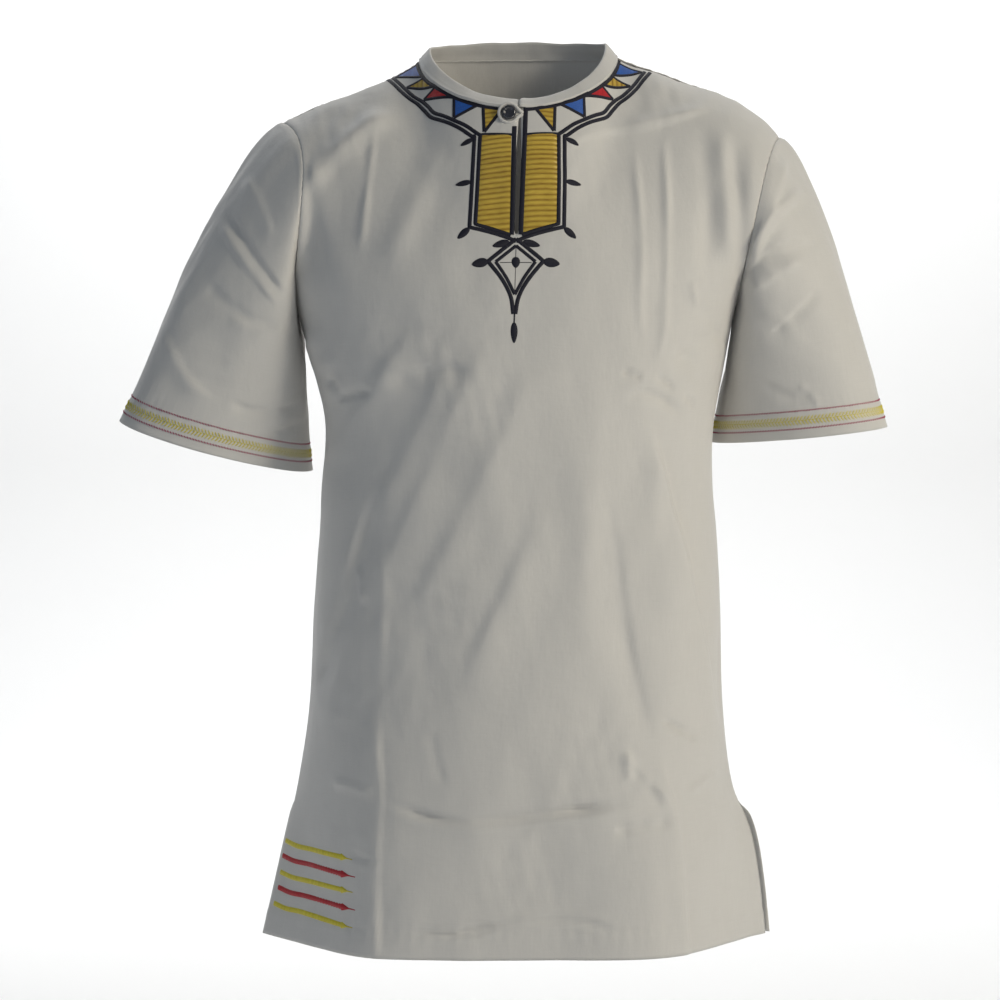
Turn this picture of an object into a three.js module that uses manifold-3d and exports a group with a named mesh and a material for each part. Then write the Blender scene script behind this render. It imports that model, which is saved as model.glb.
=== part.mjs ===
// A short-sleeved dashiki shirt, filled out as it is when worn, with nobody in it. Units are millimetres.
// +Z is up, the front faces -Y, and the origin lies between the two side neck points, where the
// shoulders of whoever wears it carry the weight. Each piece is what a maker would cut and sew:
// front, back, two sleeves, a narrow standing neckband, a button and the rouleau loop that holds it.
import * as THREE from "three";
import { mergeVertices } from "three/addons/utils/BufferGeometryUtils.js";
import Module from "manifold-3d";

const wasm = await Module();
wasm.setup();

// Driving dimensions.
const cloth = 1.2; // wall of every cloth piece
const seamGap = 0.3; // clear space between two pieces along a seam
const hemZ = -825;
const underarmZ = -240;
const underarmHalf = 204; // side seam's top, from the centre
const vent = { top: -700, spread: 4, spreadPower: 8, flare: 5, flarePower: 12, step: 16 }; // the side seams are open from here to the hem
const neckShift = 3; // the neckline lies this far to the wearer's left of the centre
const neckHalf = 91; // neck seam at the shoulder, from the neckline's middle
const neckSideY = 6;
const neckFront = { y: -74, z: -65 };
const neckBack = { y: 58, z: -4 };
const neckPower = 1.15; // above 1 the neckline rises faster near its middle
const tipY = 4; // the shoulder seam's outer end lies this far back
const neckShare = 1 / 3; // share of a panel's half width that ends at the neck
// The slit leans a little, from its foot to its top, and is widest low down.
const slit = { bottom: -183, halfGap: 3.2, foot: 0.8, footX: 0.4, topX: 4, bulge: 0.6, cellBelow: 8 };
const middleColumn = 0.04; // the panels' innermost columns, as a share of the half width
const band = { height: 16, endGap: 0.005, inward: 0.68, frontIn: 0.55, backIn: 0.35, up: 0.74, endUp: 0.15 };
const button = { x: -5.5, z: -71, radius: 6.8, thick: 3, rim: 0.7, rimIn: 0.68, dishIn: 0.55, dish: 0.5, lift: 1.4 };
const loop = { radius: 1.6, reach: 9, mouth: 38, apart: 3.4, foot: 4.5, lift: 2 };

// Sections of the body below the underarm. wide is half the width, shift moves the section towards the
// wearer's left, front and back are the depths, and boxy is how far the oval has turned into a flat
// front with chamfered sides.
const bodyRings = [
  { z: -825, wide: 234, shift: -1, front: 131, back: 128, boxy: 1 },
  { z: -775, wide: 226, shift: 2, front: 131, back: 126, boxy: 0.95 },
  { z: -730, wide: 217, shift: 3, front: 131, back: 124, boxy: 0.8 },
  { z: -682, wide: 203, shift: 0, front: 131, back: 121, boxy: 0.55 },
  { z: -612, wide: 193, shift: 1, front: 131, back: 116, boxy: 0.25 },
  { z: -519, wide: 189, shift: 2, front: 131, back: 112, boxy: 0.08 },
  { z: -449, wide: 184, shift: 3, front: 131, back: 111, boxy: 0 },
  { z: -403, wide: 180, shift: 3, front: 132, back: 112, boxy: 0 },
  { z: -352, wide: 179, shift: 5, front: 132, back: 116, boxy: 0 },
  { z: -300, wide: 190, shift: 3, front: 130, back: 120, boxy: 0 },
  { z: -240, wide: 204, shift: 0, front: 124, back: 122, boxy: 0 },
];
const ovalPower = 0.85; // below 1 fills the oval's corners
const bowPower = 2.2; // how the chest falls away towards the armholes
const bowFrom = 0.45; // share of the armhole's height at which the ring has become a bow
const boxyCorner = 0.6; // where the chamfer starts, as a share of the half width
const boxySoft = 0.12;
const boxySpread = 0.25; // how much wider the boxy section's middle columns are than its outer ones

// Directions and lengths in which the cloth reaches its upper edge, at the neck and at the shoulder.
const neckReach = { back: 85, up: 120 };
const shoulderReach = { back: 105, up: 25 };
const reachFrom = 0.2; // share of the half width at which the neck's reach starts to change
const reachOver = 0.35;

// Height of the shoulder's ridge, out from the centre on the wearer's right and left.
const ridge = [
  { out: 88, right: -12, left: -6 },
  { out: 113, right: -27, left: -17 },
  { out: 140, right: -39, left: -25 },
  { out: 165, right: -48, left: -34 },
  { out: 190, right: -57, left: -43 },
  { out: 217, right: -70, left: -59 },
  { out: 235, right: -80, left: -72 },
  { out: 247, right: -90, left: -84 },
];

// side is -1 for the wearer's right, which is at -X, and +1 for the wearer's left. The pulls are the
// directions and lengths in which the cloth leaves the armhole and reaches the cuff, out and down.
const sleeves = {
  right: {
    side: -1,
    tip: 217, // the shoulder seam's outer end
    notch: 17, // how far the front of the armhole cuts in
    cuffOuter: { x: 366, y: -10, z: -346 },
    cuffInner: { x: 191, y: 22, z: -393 },
    cuffDeep: 50,
    frontDrop: 9, // the cuff's front hangs this much lower than its sides
    topPull: { out: 135, down: 40 },
    underPull: { out: -35, down: 120 },
    endPull: { out: 120, down: 255 },
  },
  left: {
    side: 1,
    tip: 247,
    notch: 0,
    cuffOuter: { x: 345, y: -6, z: -352 },
    cuffInner: { x: 186, y: 38, z: -367 },
    cuffDeep: 56,
    frontDrop: 4,
    topPull: { out: 105, down: 55 },
    underPull: { out: -10, down: 110 },
    endPull: { out: 80, down: 257 },
  },
};
const armholeFront = 68; // how far the armhole swells forward and back of its ends
const armholeBack = 74;
const armholeVee = 0.35; // above 0 gives the armhole's foot and head an angle
const armholeLean = 1.6; // how late the armhole swings out to the shoulder's tip
const notchPower = 1.8; // above 1 the front's cut lies higher on the armhole
const sleeveStart = 0.004; // a sleeve's first ring stands just off the armhole's seam
const underArrive = { out: -12, down: 110 };
const sleeveSwell = { leave: -18, arrive: 12, down: 70 }; // of the front and back of a sleeve's ring

const radians = Math.PI / 180;
const vec = (x, y, z) => new THREE.Vector3(x, y, z);
const mix = (a, b, t) => a + (b - a) * t;
const clamp01 = (t) => Math.min(1, Math.max(0, t));
const smooth = (t) => clamp01(t) ** 2 * (3 - 2 * clamp01(t));

// Reads one column of a table at a place along its key column, on a smooth curve through the rows.
function column(table, key, name, at) {
  const rising = table[0][key] < table[1][key];
  const rows = rising ? table : [...table].reverse();
  const found = rows.findIndex((r) => r[key] >= at);
  const i = Math.min(rows.length - 1, Math.max(1, found < 0 ? rows.length - 1 : found));
  const a = rows[i - 1];
  const b = rows[i];
  const before = rows[i - 2] ?? a;
  const after = rows[i + 1] ?? b;
  const span = b[key] - a[key];
  const t = clamp01((at - a[key]) / span);
  const slopeA = ((b[name] - before[name]) / (b[key] - before[key])) * span;
  const slopeB = ((after[name] - a[name]) / (after[key] - a[key])) * span;
  return hermite(a[name], slopeA, b[name], slopeB, t);
}

function hermite(p0, m0, p1, m1, t) {
  const t2 = t * t;
  const t3 = t2 * t;
  return (2 * t3 - 3 * t2 + 1) * p0 + (t3 - 2 * t2 + t) * m0 + (3 * t2 - 2 * t3) * p1 + (t3 - t2) * m1;
}

function hermitePoint(p0, m0, p1, m1, t) {
  return vec(
    hermite(p0.x, m0.x, p1.x, m1.x, t),
    hermite(p0.y, m0.y, p1.y, m1.y, t),
    hermite(p0.z, m0.z, p1.z, m1.z, t),
  );
}

// Depth of the boxy section at a share of the half width: flat, then a straight chamfer to the side.
function chamfer(share) {
  const ramp = (v) => v - boxyCorner + Math.hypot(v - boxyCorner, boxySoft);
  const floor = ramp(0);
  return 1 - (ramp(share) - floor) / (ramp(1) - floor);
}

// A point of the body's ring. u runs from -1 to 1 across a panel; face is "front" or "back". even is
// how far the ring has changed from an oval to a shallow bow with evenly spread points, as between
// the armholes.
function ringPoint(face, u, z, even = 0) {
  const angle = Math.abs(u) * 90 * radians;
  const boxy = clamp01(column(bodyRings, "z", "boxy", z));
  const wide = column(bodyRings, "z", "wide", z);
  const shift = column(bodyRings, "z", "shift", z);
  const depth = column(bodyRings, "z", face, z);
  const spread = Math.abs(u) * (1 + boxySpread * (1 - Math.abs(u)));
  const share = mix(mix(Math.sin(angle), spread, boxy), Math.abs(u), even);
  const oval = mix(Math.max(0, Math.cos(angle)) ** ovalPower, 1 - Math.abs(u) ** bowPower, even);
  const y = depth * mix(oval, chamfer(spread), boxy);
  return vec(shift + Math.sign(u) * wide * share, face === "front" ? -y : y, z);
}

const sleeveAt = (side) => (side < 0 ? sleeves.right : sleeves.left);
const ridgeHeight = (side, out) => column(ridge, "out", side < 0 ? "right" : "left", out);
const shoulderTip = (side) => vec(side * sleeveAt(side).tip, tipY, ridgeHeight(side, sleeveAt(side).tip));

// The panel's upper edge: the neckline, then the shoulder seam.
function topPoint(face, u) {
  const side = Math.sign(u) || 1;
  const across = Math.abs(u);
  const neck = face === "front" ? neckFront : neckBack;
  const neckOut = neckHalf + side * neckShift;
  if (across < neckShare) {
    const angle = (across / neckShare) * 90 * radians;
    const fall = Math.cos(angle);
    return vec(
      neckShift + side * neckHalf * Math.sin(angle),
      mix(neckSideY, neck.y, fall),
      mix(ridgeHeight(side, neckOut), neck.z, fall ** neckPower),
    );
  }
  const run = (across - neckShare) / (1 - neckShare);
  const out = mix(neckOut, sleeveAt(side).tip, run);
  return vec(side * out, mix(neckSideY, tipY, run), ridgeHeight(side, out));
}

// The reach changes from the neck's to the shoulder's on either side of the neck point.
function topReach(face, u) {
  const over = smooth((Math.abs(u) - reachFrom) / reachOver);
  const inward = face === "front" ? 1 : -1;
  return vec(
    0,
    inward * mix(neckReach.back, shoulderReach.back, over),
    mix(neckReach.up, shoulderReach.up, over),
  );
}

// How far up the armhole a row lies: slow at its foot and head, where the seam runs forward or back.
function climb(s) {
  return mix((1 - Math.cos(s * 180 * radians)) / 2, s, armholeVee);
}

// The armhole seam, s from 0 at the underarm to 1 at the shoulder tip.
function armholePoint(face, side, s) {
  const tip = shoulderTip(side);
  const swell = Math.sin(s * 180 * radians) * (face === "front" ? -armholeFront : armholeBack);
  const cut = face === "front" ? sleeveAt(side).notch * Math.sin(s ** notchPower * Math.PI) : 0;
  return vec(
    side * (mix(underarmHalf, Math.abs(tip.x), s ** armholeLean) - cut),
    mix(0, tip.y, s) + swell,
    mix(underarmZ, tip.z, climb(s)),
  );
}

// A column of the panel between the underarm level and its upper edge, before the armhole is cut.
function columnPoint(face, u, s) {
  const foot = ringPoint(face, u, underarmZ, smooth(climb(s) / bowFrom));
  const lower = ringPoint(face, u, underarmZ - 5);
  const head = topPoint(face, u);
  const pull = ringPoint(face, u, underarmZ).sub(lower).multiplyScalar((head.z - foot.z) / 5);
  return hermitePoint(foot, pull, head, topReach(face, u), climb(s));
}

function upperPoint(face, u, s) {
  const side = Math.sign(u) || 1;
  const cut = armholePoint(face, side, s).sub(columnPoint(face, side, s));
  return columnPoint(face, u, s).addScaledVector(cut, Math.abs(u) ** bowPower);
}

// A point of a panel. v runs from 0 at the hem to 1 at the underarm level and 2 at the upper edge.
// Below the side vents the corners stand apart, and the back's left corner flares past the front's.
function panelPoint(face, u, v) {
  const point = v <= 1 ? ringPoint(face, u, mix(hemZ, underarmZ, v)) : upperPoint(face, u, v - 1);
  const open = smooth((vent.top - point.z) / (vent.top - hemZ)) * Math.abs(u) ** vent.spreadPower;
  point.y += (face === "front" ? -1 : 1) * open * vent.spread;
  if (face === "back" && u > 0)
    point.x += vent.flare * smooth((vent.top - point.z) / vent.step) * u ** vent.flarePower;
  return point;
}

// A wall of cloth on a grid of mid-surface points. keep(i, j) says whether a cell is cloth, and wrap
// joins the last column to the first. Faces point outwards where rows and columns turn anticlockwise.
function clothWall(grid, { thickness = cloth, wrap = false, keep = () => true } = {}) {
  const rows = grid.length;
  const across = grid[0].length;
  const pick = (j, i) => grid[Math.min(rows - 1, Math.max(0, j))][wrap ? (i + across) % across : i];
  const step = (i) => (wrap ? i : Math.min(across - 1, Math.max(0, i)));
  const outer = [];
  const inner = [];
  for (let j = 0; j < rows; j++)
    for (let i = 0; i < across; i++) {
      const alongRow = pick(j, step(i + 1)).clone().sub(pick(j, step(i - 1)));
      const alongColumn = pick(j + 1, i).clone().sub(pick(j - 1, i));
      const normal = alongRow.cross(alongColumn).normalize();
      const middle = pick(j, i);
      outer.push(middle.clone().addScaledVector(normal, thickness / 2));
      inner.push(middle.clone().addScaledVector(normal, -thickness / 2));
    }
  const points = [...outer, ...inner];
  const shift = outer.length;
  const cellsAcross = wrap ? across : across - 1;
  const cloths = (i, j) => {
    if (j < 0 || j >= rows - 1) return false;
    if (!wrap && (i < 0 || i >= cellsAcross)) return false;
    return keep((i + cellsAcross) % cellsAcross, j);
  };
  const id = (i, j) => j * across + (i % across);
  const faces = [];
  const quad = (a, b, c, d) => faces.push(a, b, c, a, c, d);
  for (let j = 0; j < rows - 1; j++)
    for (let i = 0; i < cellsAcross; i++) {
      if (!cloths(i, j)) continue;
      const [a, b, c, d] = [id(i, j), id(i + 1, j), id(i + 1, j + 1), id(i, j + 1)];
      quad(a, b, c, d);
      quad(c + shift, b + shift, a + shift, d + shift); // the same diagonal as the outer side's
      if (!cloths(i, j - 1)) quad(a, a + shift, b + shift, b);
      if (!cloths(i, j + 1)) quad(c, c + shift, d + shift, d);
      if (!cloths(i - 1, j)) quad(d, d + shift, a + shift, a);
      if (!cloths(i + 1, j)) quad(b, b + shift, c + shift, c);
    }
  return solidFrom(points, faces);
}

function solidFrom(points, faces) {
  const geometry = new THREE.BufferGeometry();
  const flat = points.flatMap((p) => [p.x, p.y, p.z]);
  geometry.setAttribute("position", new THREE.Float32BufferAttribute(flat, 3));
  geometry.setIndex(faces);
  return geometry;
}

function manifoldOf(geometry) {
  const merged = mergeVertices(geometry, 1e-3);
  const vertProperties = merged.getAttribute("position").array;
  const triVerts = new Uint32Array(merged.index.array);
  return new wasm.Manifold(new wasm.Mesh({ numProp: 3, vertProperties, triVerts }));
}

// Cuts a piece back from the thickened forms of its neighbours and keeps its main body.
function cutBack(geometry, ...neighbours) {
  let solid = manifoldOf(geometry);
  for (const neighbour of neighbours) solid = solid.subtract(manifoldOf(neighbour));
  const main = solid.decompose().sort((a, b) => b.volume() - a.volume())[0];
  const mesh = main.getMesh();
  const cut = new THREE.BufferGeometry();
  cut.setAttribute("position", new THREE.BufferAttribute(mesh.vertProperties, 3));
  cut.setIndex(new THREE.BufferAttribute(mesh.triVerts, 1));
  return cut;
}

const range = (count, from, to) => Array.from({ length: count + 1 }, (_, i) => mix(from, to, i / count));

// The front and back panels. Rows climb from the hem to the neck and shoulders. The front has a narrow
// middle column, left out above the slit's foot. hold keeps a panel short of its seams, as a share of
// its half width, and a thicker panel without it is what its neighbours are cut back from.
function panel(face, { thickness = cloth, hold = 0.001 } = {}) {
  const half = range(face === "front" ? 13 : 12, middleColumn, 1);
  const us = [...half.map((u) => -u).reverse(), ...half];
  const rows = [...range(13, 0, 1), ...range(10, 1, 2).slice(1)];
  const grid = rows.map((v) => us.map((u) => panelPoint(face, u * (1 - hold), Math.min(v, 2 - 5 * hold))));
  const middle = half.length - 1;
  if (face === "front")
    for (const row of grid) {
      const share = clamp01((row[middle].z - slit.bottom) / (neckFront.z - slit.bottom));
      const open = mix(slit.foot, slit.halfGap, Math.sin(share ** slit.bulge * Math.PI));
      const centre = mix(slit.footX, slit.topX, share);
      row[middle].x = centre - open;
      row[middle + 1].x = centre + open;
    }
  const ordered = face === "front" ? grid : grid.map((row) => [...row].reverse());
  const isSlit = (i, j) => face === "front" && i === middle && grid[j][middle].z >= slit.bottom - slit.cellBelow;
  return clothWall(ordered, { thickness, keep: (i, j) => !isSlit(i, j) });
}

// A sleeve's ring at the armhole: around from the underarm by way of the front, the top and the back.
function armholeRing(side, turn) {
  const half = turn < 0.5 ? turn * 2 : (1 - turn) * 2;
  return armholePoint(turn < 0.5 ? "front" : "back", side, half);
}

function cuffRing({ side, cuffOuter, cuffInner, cuffDeep, frontDrop }, turn) {
  const inner = (1 + Math.cos(turn * 360 * radians)) / 2;
  const forward = Math.sin(turn * 360 * radians);
  return vec(
    side * mix(cuffOuter.x, cuffInner.x, inner),
    mix(cuffOuter.y, cuffInner.y, inner) - cuffDeep * forward,
    mix(cuffOuter.z, cuffInner.z, inner) - frontDrop * forward,
  );
}

// A point of a sleeve: turn goes round as the armhole's ring does, t from 0 at the armhole to 1 at the cuff.
function sleevePoint(sleeve, turn, t) {
  const { side, topPull, underPull, endPull } = sleeve;
  const up = (1 - Math.cos(turn * 360 * radians)) / 2; // 0 at the underarm, 1 at the top
  const forward = Math.sin(turn * 360 * radians);
  const leave = vec(
    side * mix(underPull.out, topPull.out, up),
    forward * sleeveSwell.leave,
    -mix(underPull.down, topPull.down, up) - Math.abs(forward) * sleeveSwell.down,
  );
  const arrive = vec(
    side * mix(underArrive.out, endPull.out, up),
    forward * sleeveSwell.arrive,
    -mix(underArrive.down, endPull.down, up),
  );
  return hermitePoint(armholeRing(side, turn), leave, cuffRing(sleeve, turn), arrive, t);
}

function sleeveShell(sleeve) {
  const turns = range(24, 0, 1).slice(0, -1);
  const rows = range(10, 1, sleeveStart);
  const grid = rows.map((t) => turns.map((turn) => sleevePoint(sleeve, turn, t)));
  return clothWall(sleeve.side < 0 ? grid : grid.map((row) => [...row].reverse()), { wrap: true });
}

// The neckband stands on the neck seam and leans in towards the neck. share runs from 0 at the
// wearer's left end in front, round the back, to 1 at the wearer's right end.
function bandPoint(share, rise) {
  const turn = mix(band.endGap, 1 - band.endGap, share) * 360 * radians;
  const face = Math.cos(turn) > 0 ? "front" : "back";
  const side = turn < Math.PI ? 1 : -1;
  const u = Math.asin(clamp01(Math.abs(Math.sin(turn)))) / (90 * radians);
  const foot = topPoint(face, side * Math.min(u, 0.9999) * neckShare);
  const front = Math.max(0, Math.cos(turn));
  const back = Math.max(0, -Math.cos(turn));
  const lean = vec(
    -band.inward * Math.sin(turn),
    band.frontIn * front - band.backIn * back,
    band.up + band.endUp * (front + back),
  );
  return foot.addScaledVector(lean.normalize(), rise);
}

function neckband() {
  const shares = range(44, 0, 1);
  const rises = range(2, 3 * seamGap, band.height);
  return clothWall(rises.map((rise) => shares.map((share) => bandPoint(share, rise))));
}

// Where the front panel lies at a place seen from the front: its point, outward normal and upward run.
function frontFrame(x, z) {
  const u = (Math.asin((x - neckShift) / neckHalf) / (90 * radians)) * neckShare;
  let low = 1;
  let high = 2;
  for (let i = 0; i < 30; i++) {
    const v = (low + high) / 2;
    if (panelPoint("front", u, v).z < z) low = v;
    else high = v;
  }
  const point = panelPoint("front", u, low);
  const up = point.clone().sub(panelPoint("front", u, low - 0.02)).normalize();
  const normal = vec(1, 0, 0).cross(up).normalize();
  return { point, normal, up };
}

// A round button, its outer face dished inside a raised rim.
function buttonSolid() {
  const { radius, thick, rim, rimIn, dishIn, dish } = button;
  const profile = [
    [0, 0],
    [radius - rim, 0],
    [radius, rim],
    [radius, thick - rim],
    [radius - rim, thick],
    [radius * rimIn, thick],
    [radius * dishIn, thick - dish],
    [0, thick - dish],
  ];
  return new THREE.LatheGeometry(profile.map(([out, up]) => new THREE.Vector2(out, up)), 32);
}

// The rouleau loop leaves the wearer's left edge of the slit, goes round the button and comes back.
function loopSolid() {
  const start = slit.topX + loop.foot - button.x;
  const around = range(12, loop.mouth, 360 - loop.mouth).map((turn) =>
    vec(loop.reach * Math.cos(turn * radians), loop.reach * Math.sin(turn * radians), 0),
  );
  const path = new THREE.CatmullRomCurve3([
    vec(start, loop.apart, 0),
    ...around,
    vec(start, -loop.apart, 0),
  ]);
  const section = new THREE.Shape();
  section.absarc(0, 0, loop.radius, 0, 2 * Math.PI);
  return new THREE.ExtrudeGeometry(section, { steps: 28, curveSegments: 4, extrudePath: path });
}

function material(color, roughness) {
  return new THREE.MeshStandardMaterial({ color, roughness, metalness: 0 });
}

const clothMaterial = material(0xb9b5a9, 0.75);
const buttonMaterial = material(0x17171c, 0.35);
const shirt = new THREE.Group();

function add(name, geometry, finish) {
  geometry.computeVertexNormals();
  const mesh = new THREE.Mesh(geometry, finish);
  mesh.name = name;
  shirt.add(mesh);
  return mesh;
}

// Stands a piece that was made lying flat on the front panel at the button's place. A lathe's outer
// face is along +Y, and the loop's along +Z.
function layOnFront(mesh, lift, outerAxis) {
  const { point, normal, up } = frontFrame(button.x, button.z);
  const right = up.clone().cross(normal).normalize();
  const axes = outerAxis === "y" ? [right, normal, up.clone().negate()] : [right, up, normal];
  mesh.quaternion.setFromRotationMatrix(new THREE.Matrix4().makeBasis(...axes));
  mesh.position.copy(point).addScaledVector(normal, cloth / 2 + lift);
}

const grown = cloth + 2 * seamGap;
const keepOut = (face) => [panel(face, { thickness: grown }), panel(face, { thickness: grown, hold: 0 })];
const frontKeepOut = keepOut("front");
const bothKeepOut = [...frontKeepOut, ...keepOut("back")];

add("front_panel", panel("front"), clothMaterial);
add("back_panel", cutBack(panel("back"), ...frontKeepOut), clothMaterial);
add("sleeve_right", cutBack(sleeveShell(sleeves.right), ...bothKeepOut), clothMaterial);
add("sleeve_left", cutBack(sleeveShell(sleeves.left), ...bothKeepOut), clothMaterial);
add("neckband", cutBack(neckband(), ...bothKeepOut), clothMaterial);
layOnFront(add("button", buttonSolid(), buttonMaterial), button.lift, "y");
layOnFront(add("button_loop", loopSolid(), clothMaterial), loop.lift, "z");

export default shirt;
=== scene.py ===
import math
from functools import partial

import bpy
import numpy as np
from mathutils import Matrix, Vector


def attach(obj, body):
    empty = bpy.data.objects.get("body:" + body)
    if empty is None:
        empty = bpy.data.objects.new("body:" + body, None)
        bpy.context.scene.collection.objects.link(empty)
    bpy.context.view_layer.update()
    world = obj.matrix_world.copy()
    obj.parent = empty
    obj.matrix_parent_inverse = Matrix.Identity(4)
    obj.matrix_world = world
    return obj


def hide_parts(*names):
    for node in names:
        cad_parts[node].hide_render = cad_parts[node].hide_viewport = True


# A short-sleeved dashiki shirt, filled out as worn, with its neck, hem and cuffs open.
# Shapes are worked out in millimetres and written into the meshes in metres.
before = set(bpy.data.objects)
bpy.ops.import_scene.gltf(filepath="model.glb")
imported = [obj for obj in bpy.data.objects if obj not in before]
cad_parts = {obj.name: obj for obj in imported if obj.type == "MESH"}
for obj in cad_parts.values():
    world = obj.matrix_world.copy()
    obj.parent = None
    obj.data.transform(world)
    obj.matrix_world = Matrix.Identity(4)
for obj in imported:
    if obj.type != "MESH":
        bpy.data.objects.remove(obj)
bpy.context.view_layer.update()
mm = 0.001
print(len(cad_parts), "nodes of the plain model are loaded")

# The body: every value is in millimetres, or a share or a power where it has no unit.
shirt = {
    "hemZ": -825, "underarmZ": -240, "underarmHalf": 204,
    "ventTop": -700, "ventSpread": 4, "ventSpreadPower": 8,
    "ventFlare": 5, "ventFlareSoft": 16, "ventFlarePower": 12,
    "neckShift": 3, "neckHalf": 91, "neckSideY": 6, "neckShare": 1 / 3, "neckFall": 1.15, "tipY": 4,
    "neckLow": {"front": (-74, -65), "back": (58, -4)},  # depth and height at the neck's middle
    "armhole": {"front": -68, "back": 74}, "armholeVee": 0.35, "armholeLean": 1.6, "notchPower": 1.8,
    "ovalPower": 0.85, "bowPower": 2.2, "bowFrom": 0.45,
    "boxyCorner": 0.6, "boxySoft": 0.12, "boxyWide": 0.25,
    "slopeStep": 5, "over": (0.2, 0.35), "reachIn": (85, 105), "reachUp": (120, 25),
    # height, half width, shift, front depth, back depth, how boxy
    "rings": [
        (-825, 234, -1, 131, 128, 1.0), (-775, 226, 2, 131, 126, 0.95), (-730, 217, 3, 131, 124, 0.8),
        (-682, 203, 0, 131, 121, 0.55), (-612, 193, 1, 131, 116, 0.25), (-519, 189, 2, 131, 112, 0.08),
        (-449, 184, 3, 131, 111, 0), (-403, 180, 3, 132, 112, 0), (-352, 179, 5, 132, 116, 0),
        (-300, 190, 3, 130, 120, 0), (-240, 204, 0, 124, 122, 0),
    ],
    # out from the centre, the shoulder's height on the wearer's right and left
    "ridge": [
        (88, -12, -6), (113, -27, -17), (140, -39, -25), (165, -48, -34),
        (190, -57, -43), (217, -70, -59), (235, -80, -72), (247, -90, -84),
    ],
}
# Each sleeve: its shoulder tip, how far its seam is cut in, its cuff's outer and inner ends, and the
# way that the cloth leaves the armhole and reaches the cuff, as (out, down), above and below.
sleeveRight = {
    "side": -1, "tip": 217, "notch": 17, "outer": (366, -10, -346), "inner": (191, 22, -393),
    "deep": 50, "drop": 9, "top": (135, 40), "under": (-35, 120), "end": (120, 255),
}
sleeveLeft = {
    "side": 1, "tip": 247, "notch": 0, "outer": (345, -6, -352), "inner": (186, 38, -367),
    "deep": 56, "drop": 4, "top": (105, 55), "under": (-10, 110), "end": (80, 257),
}
sleeveFlow = {"inner": (-12, 110), "bulge": 18, "sag": 70, "cuffBulge": 12}


def mix(a, b, t):
    return a + (b - a) * t


# An even rise from 0 to 1 that starts and ends level.
def smooth(t):
    t = np.clip(t, 0, 1)
    return t * t * (3 - 2 * t)


# A bell: 1 at nought, and falling away on both sides over its width.
def bell(away, wide):
    return np.exp(-((away / wide) ** 2))


def unit(v):
    return v / np.maximum(np.linalg.norm(v, axis=-1, keepdims=True), 1e-9)


# The cubic from p0 to p1 that leaves along m0 and arrives along m1.
def hermite(p0, m0, p1, m1, t):
    return ((2 * t**3 - 3 * t**2 + 1) * p0 + (t**3 - 2 * t**2 + t) * m0
            + (3 * t**2 - 2 * t**3) * p1 + (t**3 - t**2) * m1)


# One column of a table, read along its first column on a smooth curve through the rows.
def alongTable(rows, name, at):
    rows = np.array(rows, float)
    keys, values = rows[:, 0], rows[:, name]
    slopes = np.diff(values) / np.diff(keys)
    middle = (values[2:] - values[:-2]) / (keys[2:] - keys[:-2])
    slopes = np.concatenate([slopes[:1], middle, slopes[-1:]])
    at = np.clip(at, keys[0], keys[-1])
    i = np.clip(np.searchsorted(keys, at), 1, len(keys) - 1)
    span = keys[i] - keys[i - 1]
    part = (at - keys[i - 1]) / span
    return hermite(values[i - 1], slopes[i - 1] * span, values[i], slopes[i] * span, part)


# Flat in the middle, then a straight chamfer down to nothing at the side.
def chamfer(share):
    def ramp(v):
        return v - shirt["boxyCorner"] + np.hypot(v - shirt["boxyCorner"], shirt["boxySoft"])
    return 1 - (ramp(share) - ramp(0)) / (ramp(1) - ramp(0))


# The body's ring at a height: across by the sine of u and deep by its cosine, an oval, which turns
# boxy towards the hem, and into an even bow between the armholes.
def ringPoint(face, u, z, even=0.0):
    across = np.abs(u)
    wide, shift, boxy = (alongTable(shirt["rings"], k, z) for k in (1, 2, 5))
    depth = alongTable(shirt["rings"], 3 if face == "front" else 4, z)
    boxy = np.clip(boxy, 0, 1)
    square = across * (1 + shirt["boxyWide"] - shirt["boxyWide"] * across)
    share = mix(mix(np.sin(across * np.pi / 2), square, boxy), across, even)
    oval = np.maximum(0, np.cos(across * np.pi / 2)) ** shirt["ovalPower"]
    y = depth * mix(mix(oval, 1 - across ** shirt["bowPower"], even), chamfer(square), boxy)
    return np.stack([shift + np.sign(u) * wide * share, -y if face == "front" else y, z + 0 * u], -1)


def sideOf(u):
    return np.where(np.asarray(u) < 0, -1.0, 1.0)


def tipOf(side):
    return np.where(side < 0, sleeveRight["tip"], sleeveLeft["tip"])


def ridgeHeight(side, out):
    right, left = (alongTable(shirt["ridge"], k, out) for k in (1, 2))
    return np.where(side < 0, right, left)


# The panel's upper edge: a quarter turn of the neckline, then the shoulder seam.
def topPoint(face, u):
    side, across = sideOf(u), np.abs(u)
    lowY, lowZ = shirt["neckLow"][face]
    neckOut = shirt["neckHalf"] + side * shirt["neckShift"]
    angle = np.minimum(across / shirt["neckShare"], 1) * np.pi / 2
    fall = np.maximum(np.cos(angle), 0)
    neck = [shirt["neckShift"] + side * shirt["neckHalf"] * np.sin(angle),
            mix(shirt["neckSideY"], lowY, fall),
            mix(ridgeHeight(side, neckOut), lowZ, fall ** shirt["neckFall"])]
    run = np.maximum(across - shirt["neckShare"], 0) / (1 - shirt["neckShare"])
    out = mix(neckOut, tipOf(side), run)
    shoulder = [side * out, mix(shirt["neckSideY"], shirt["tipY"], run), ridgeHeight(side, out)]
    onNeckline = (across < shirt["neckShare"])[..., None]
    return np.where(onNeckline, np.stack(neck, -1), np.stack(shoulder, -1))


# How far up the armhole a share of it is: part even, part slow at both ends.
def climb(s):
    return mix((1 - np.cos(s * np.pi)) / 2, s, shirt["armholeVee"])


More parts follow.
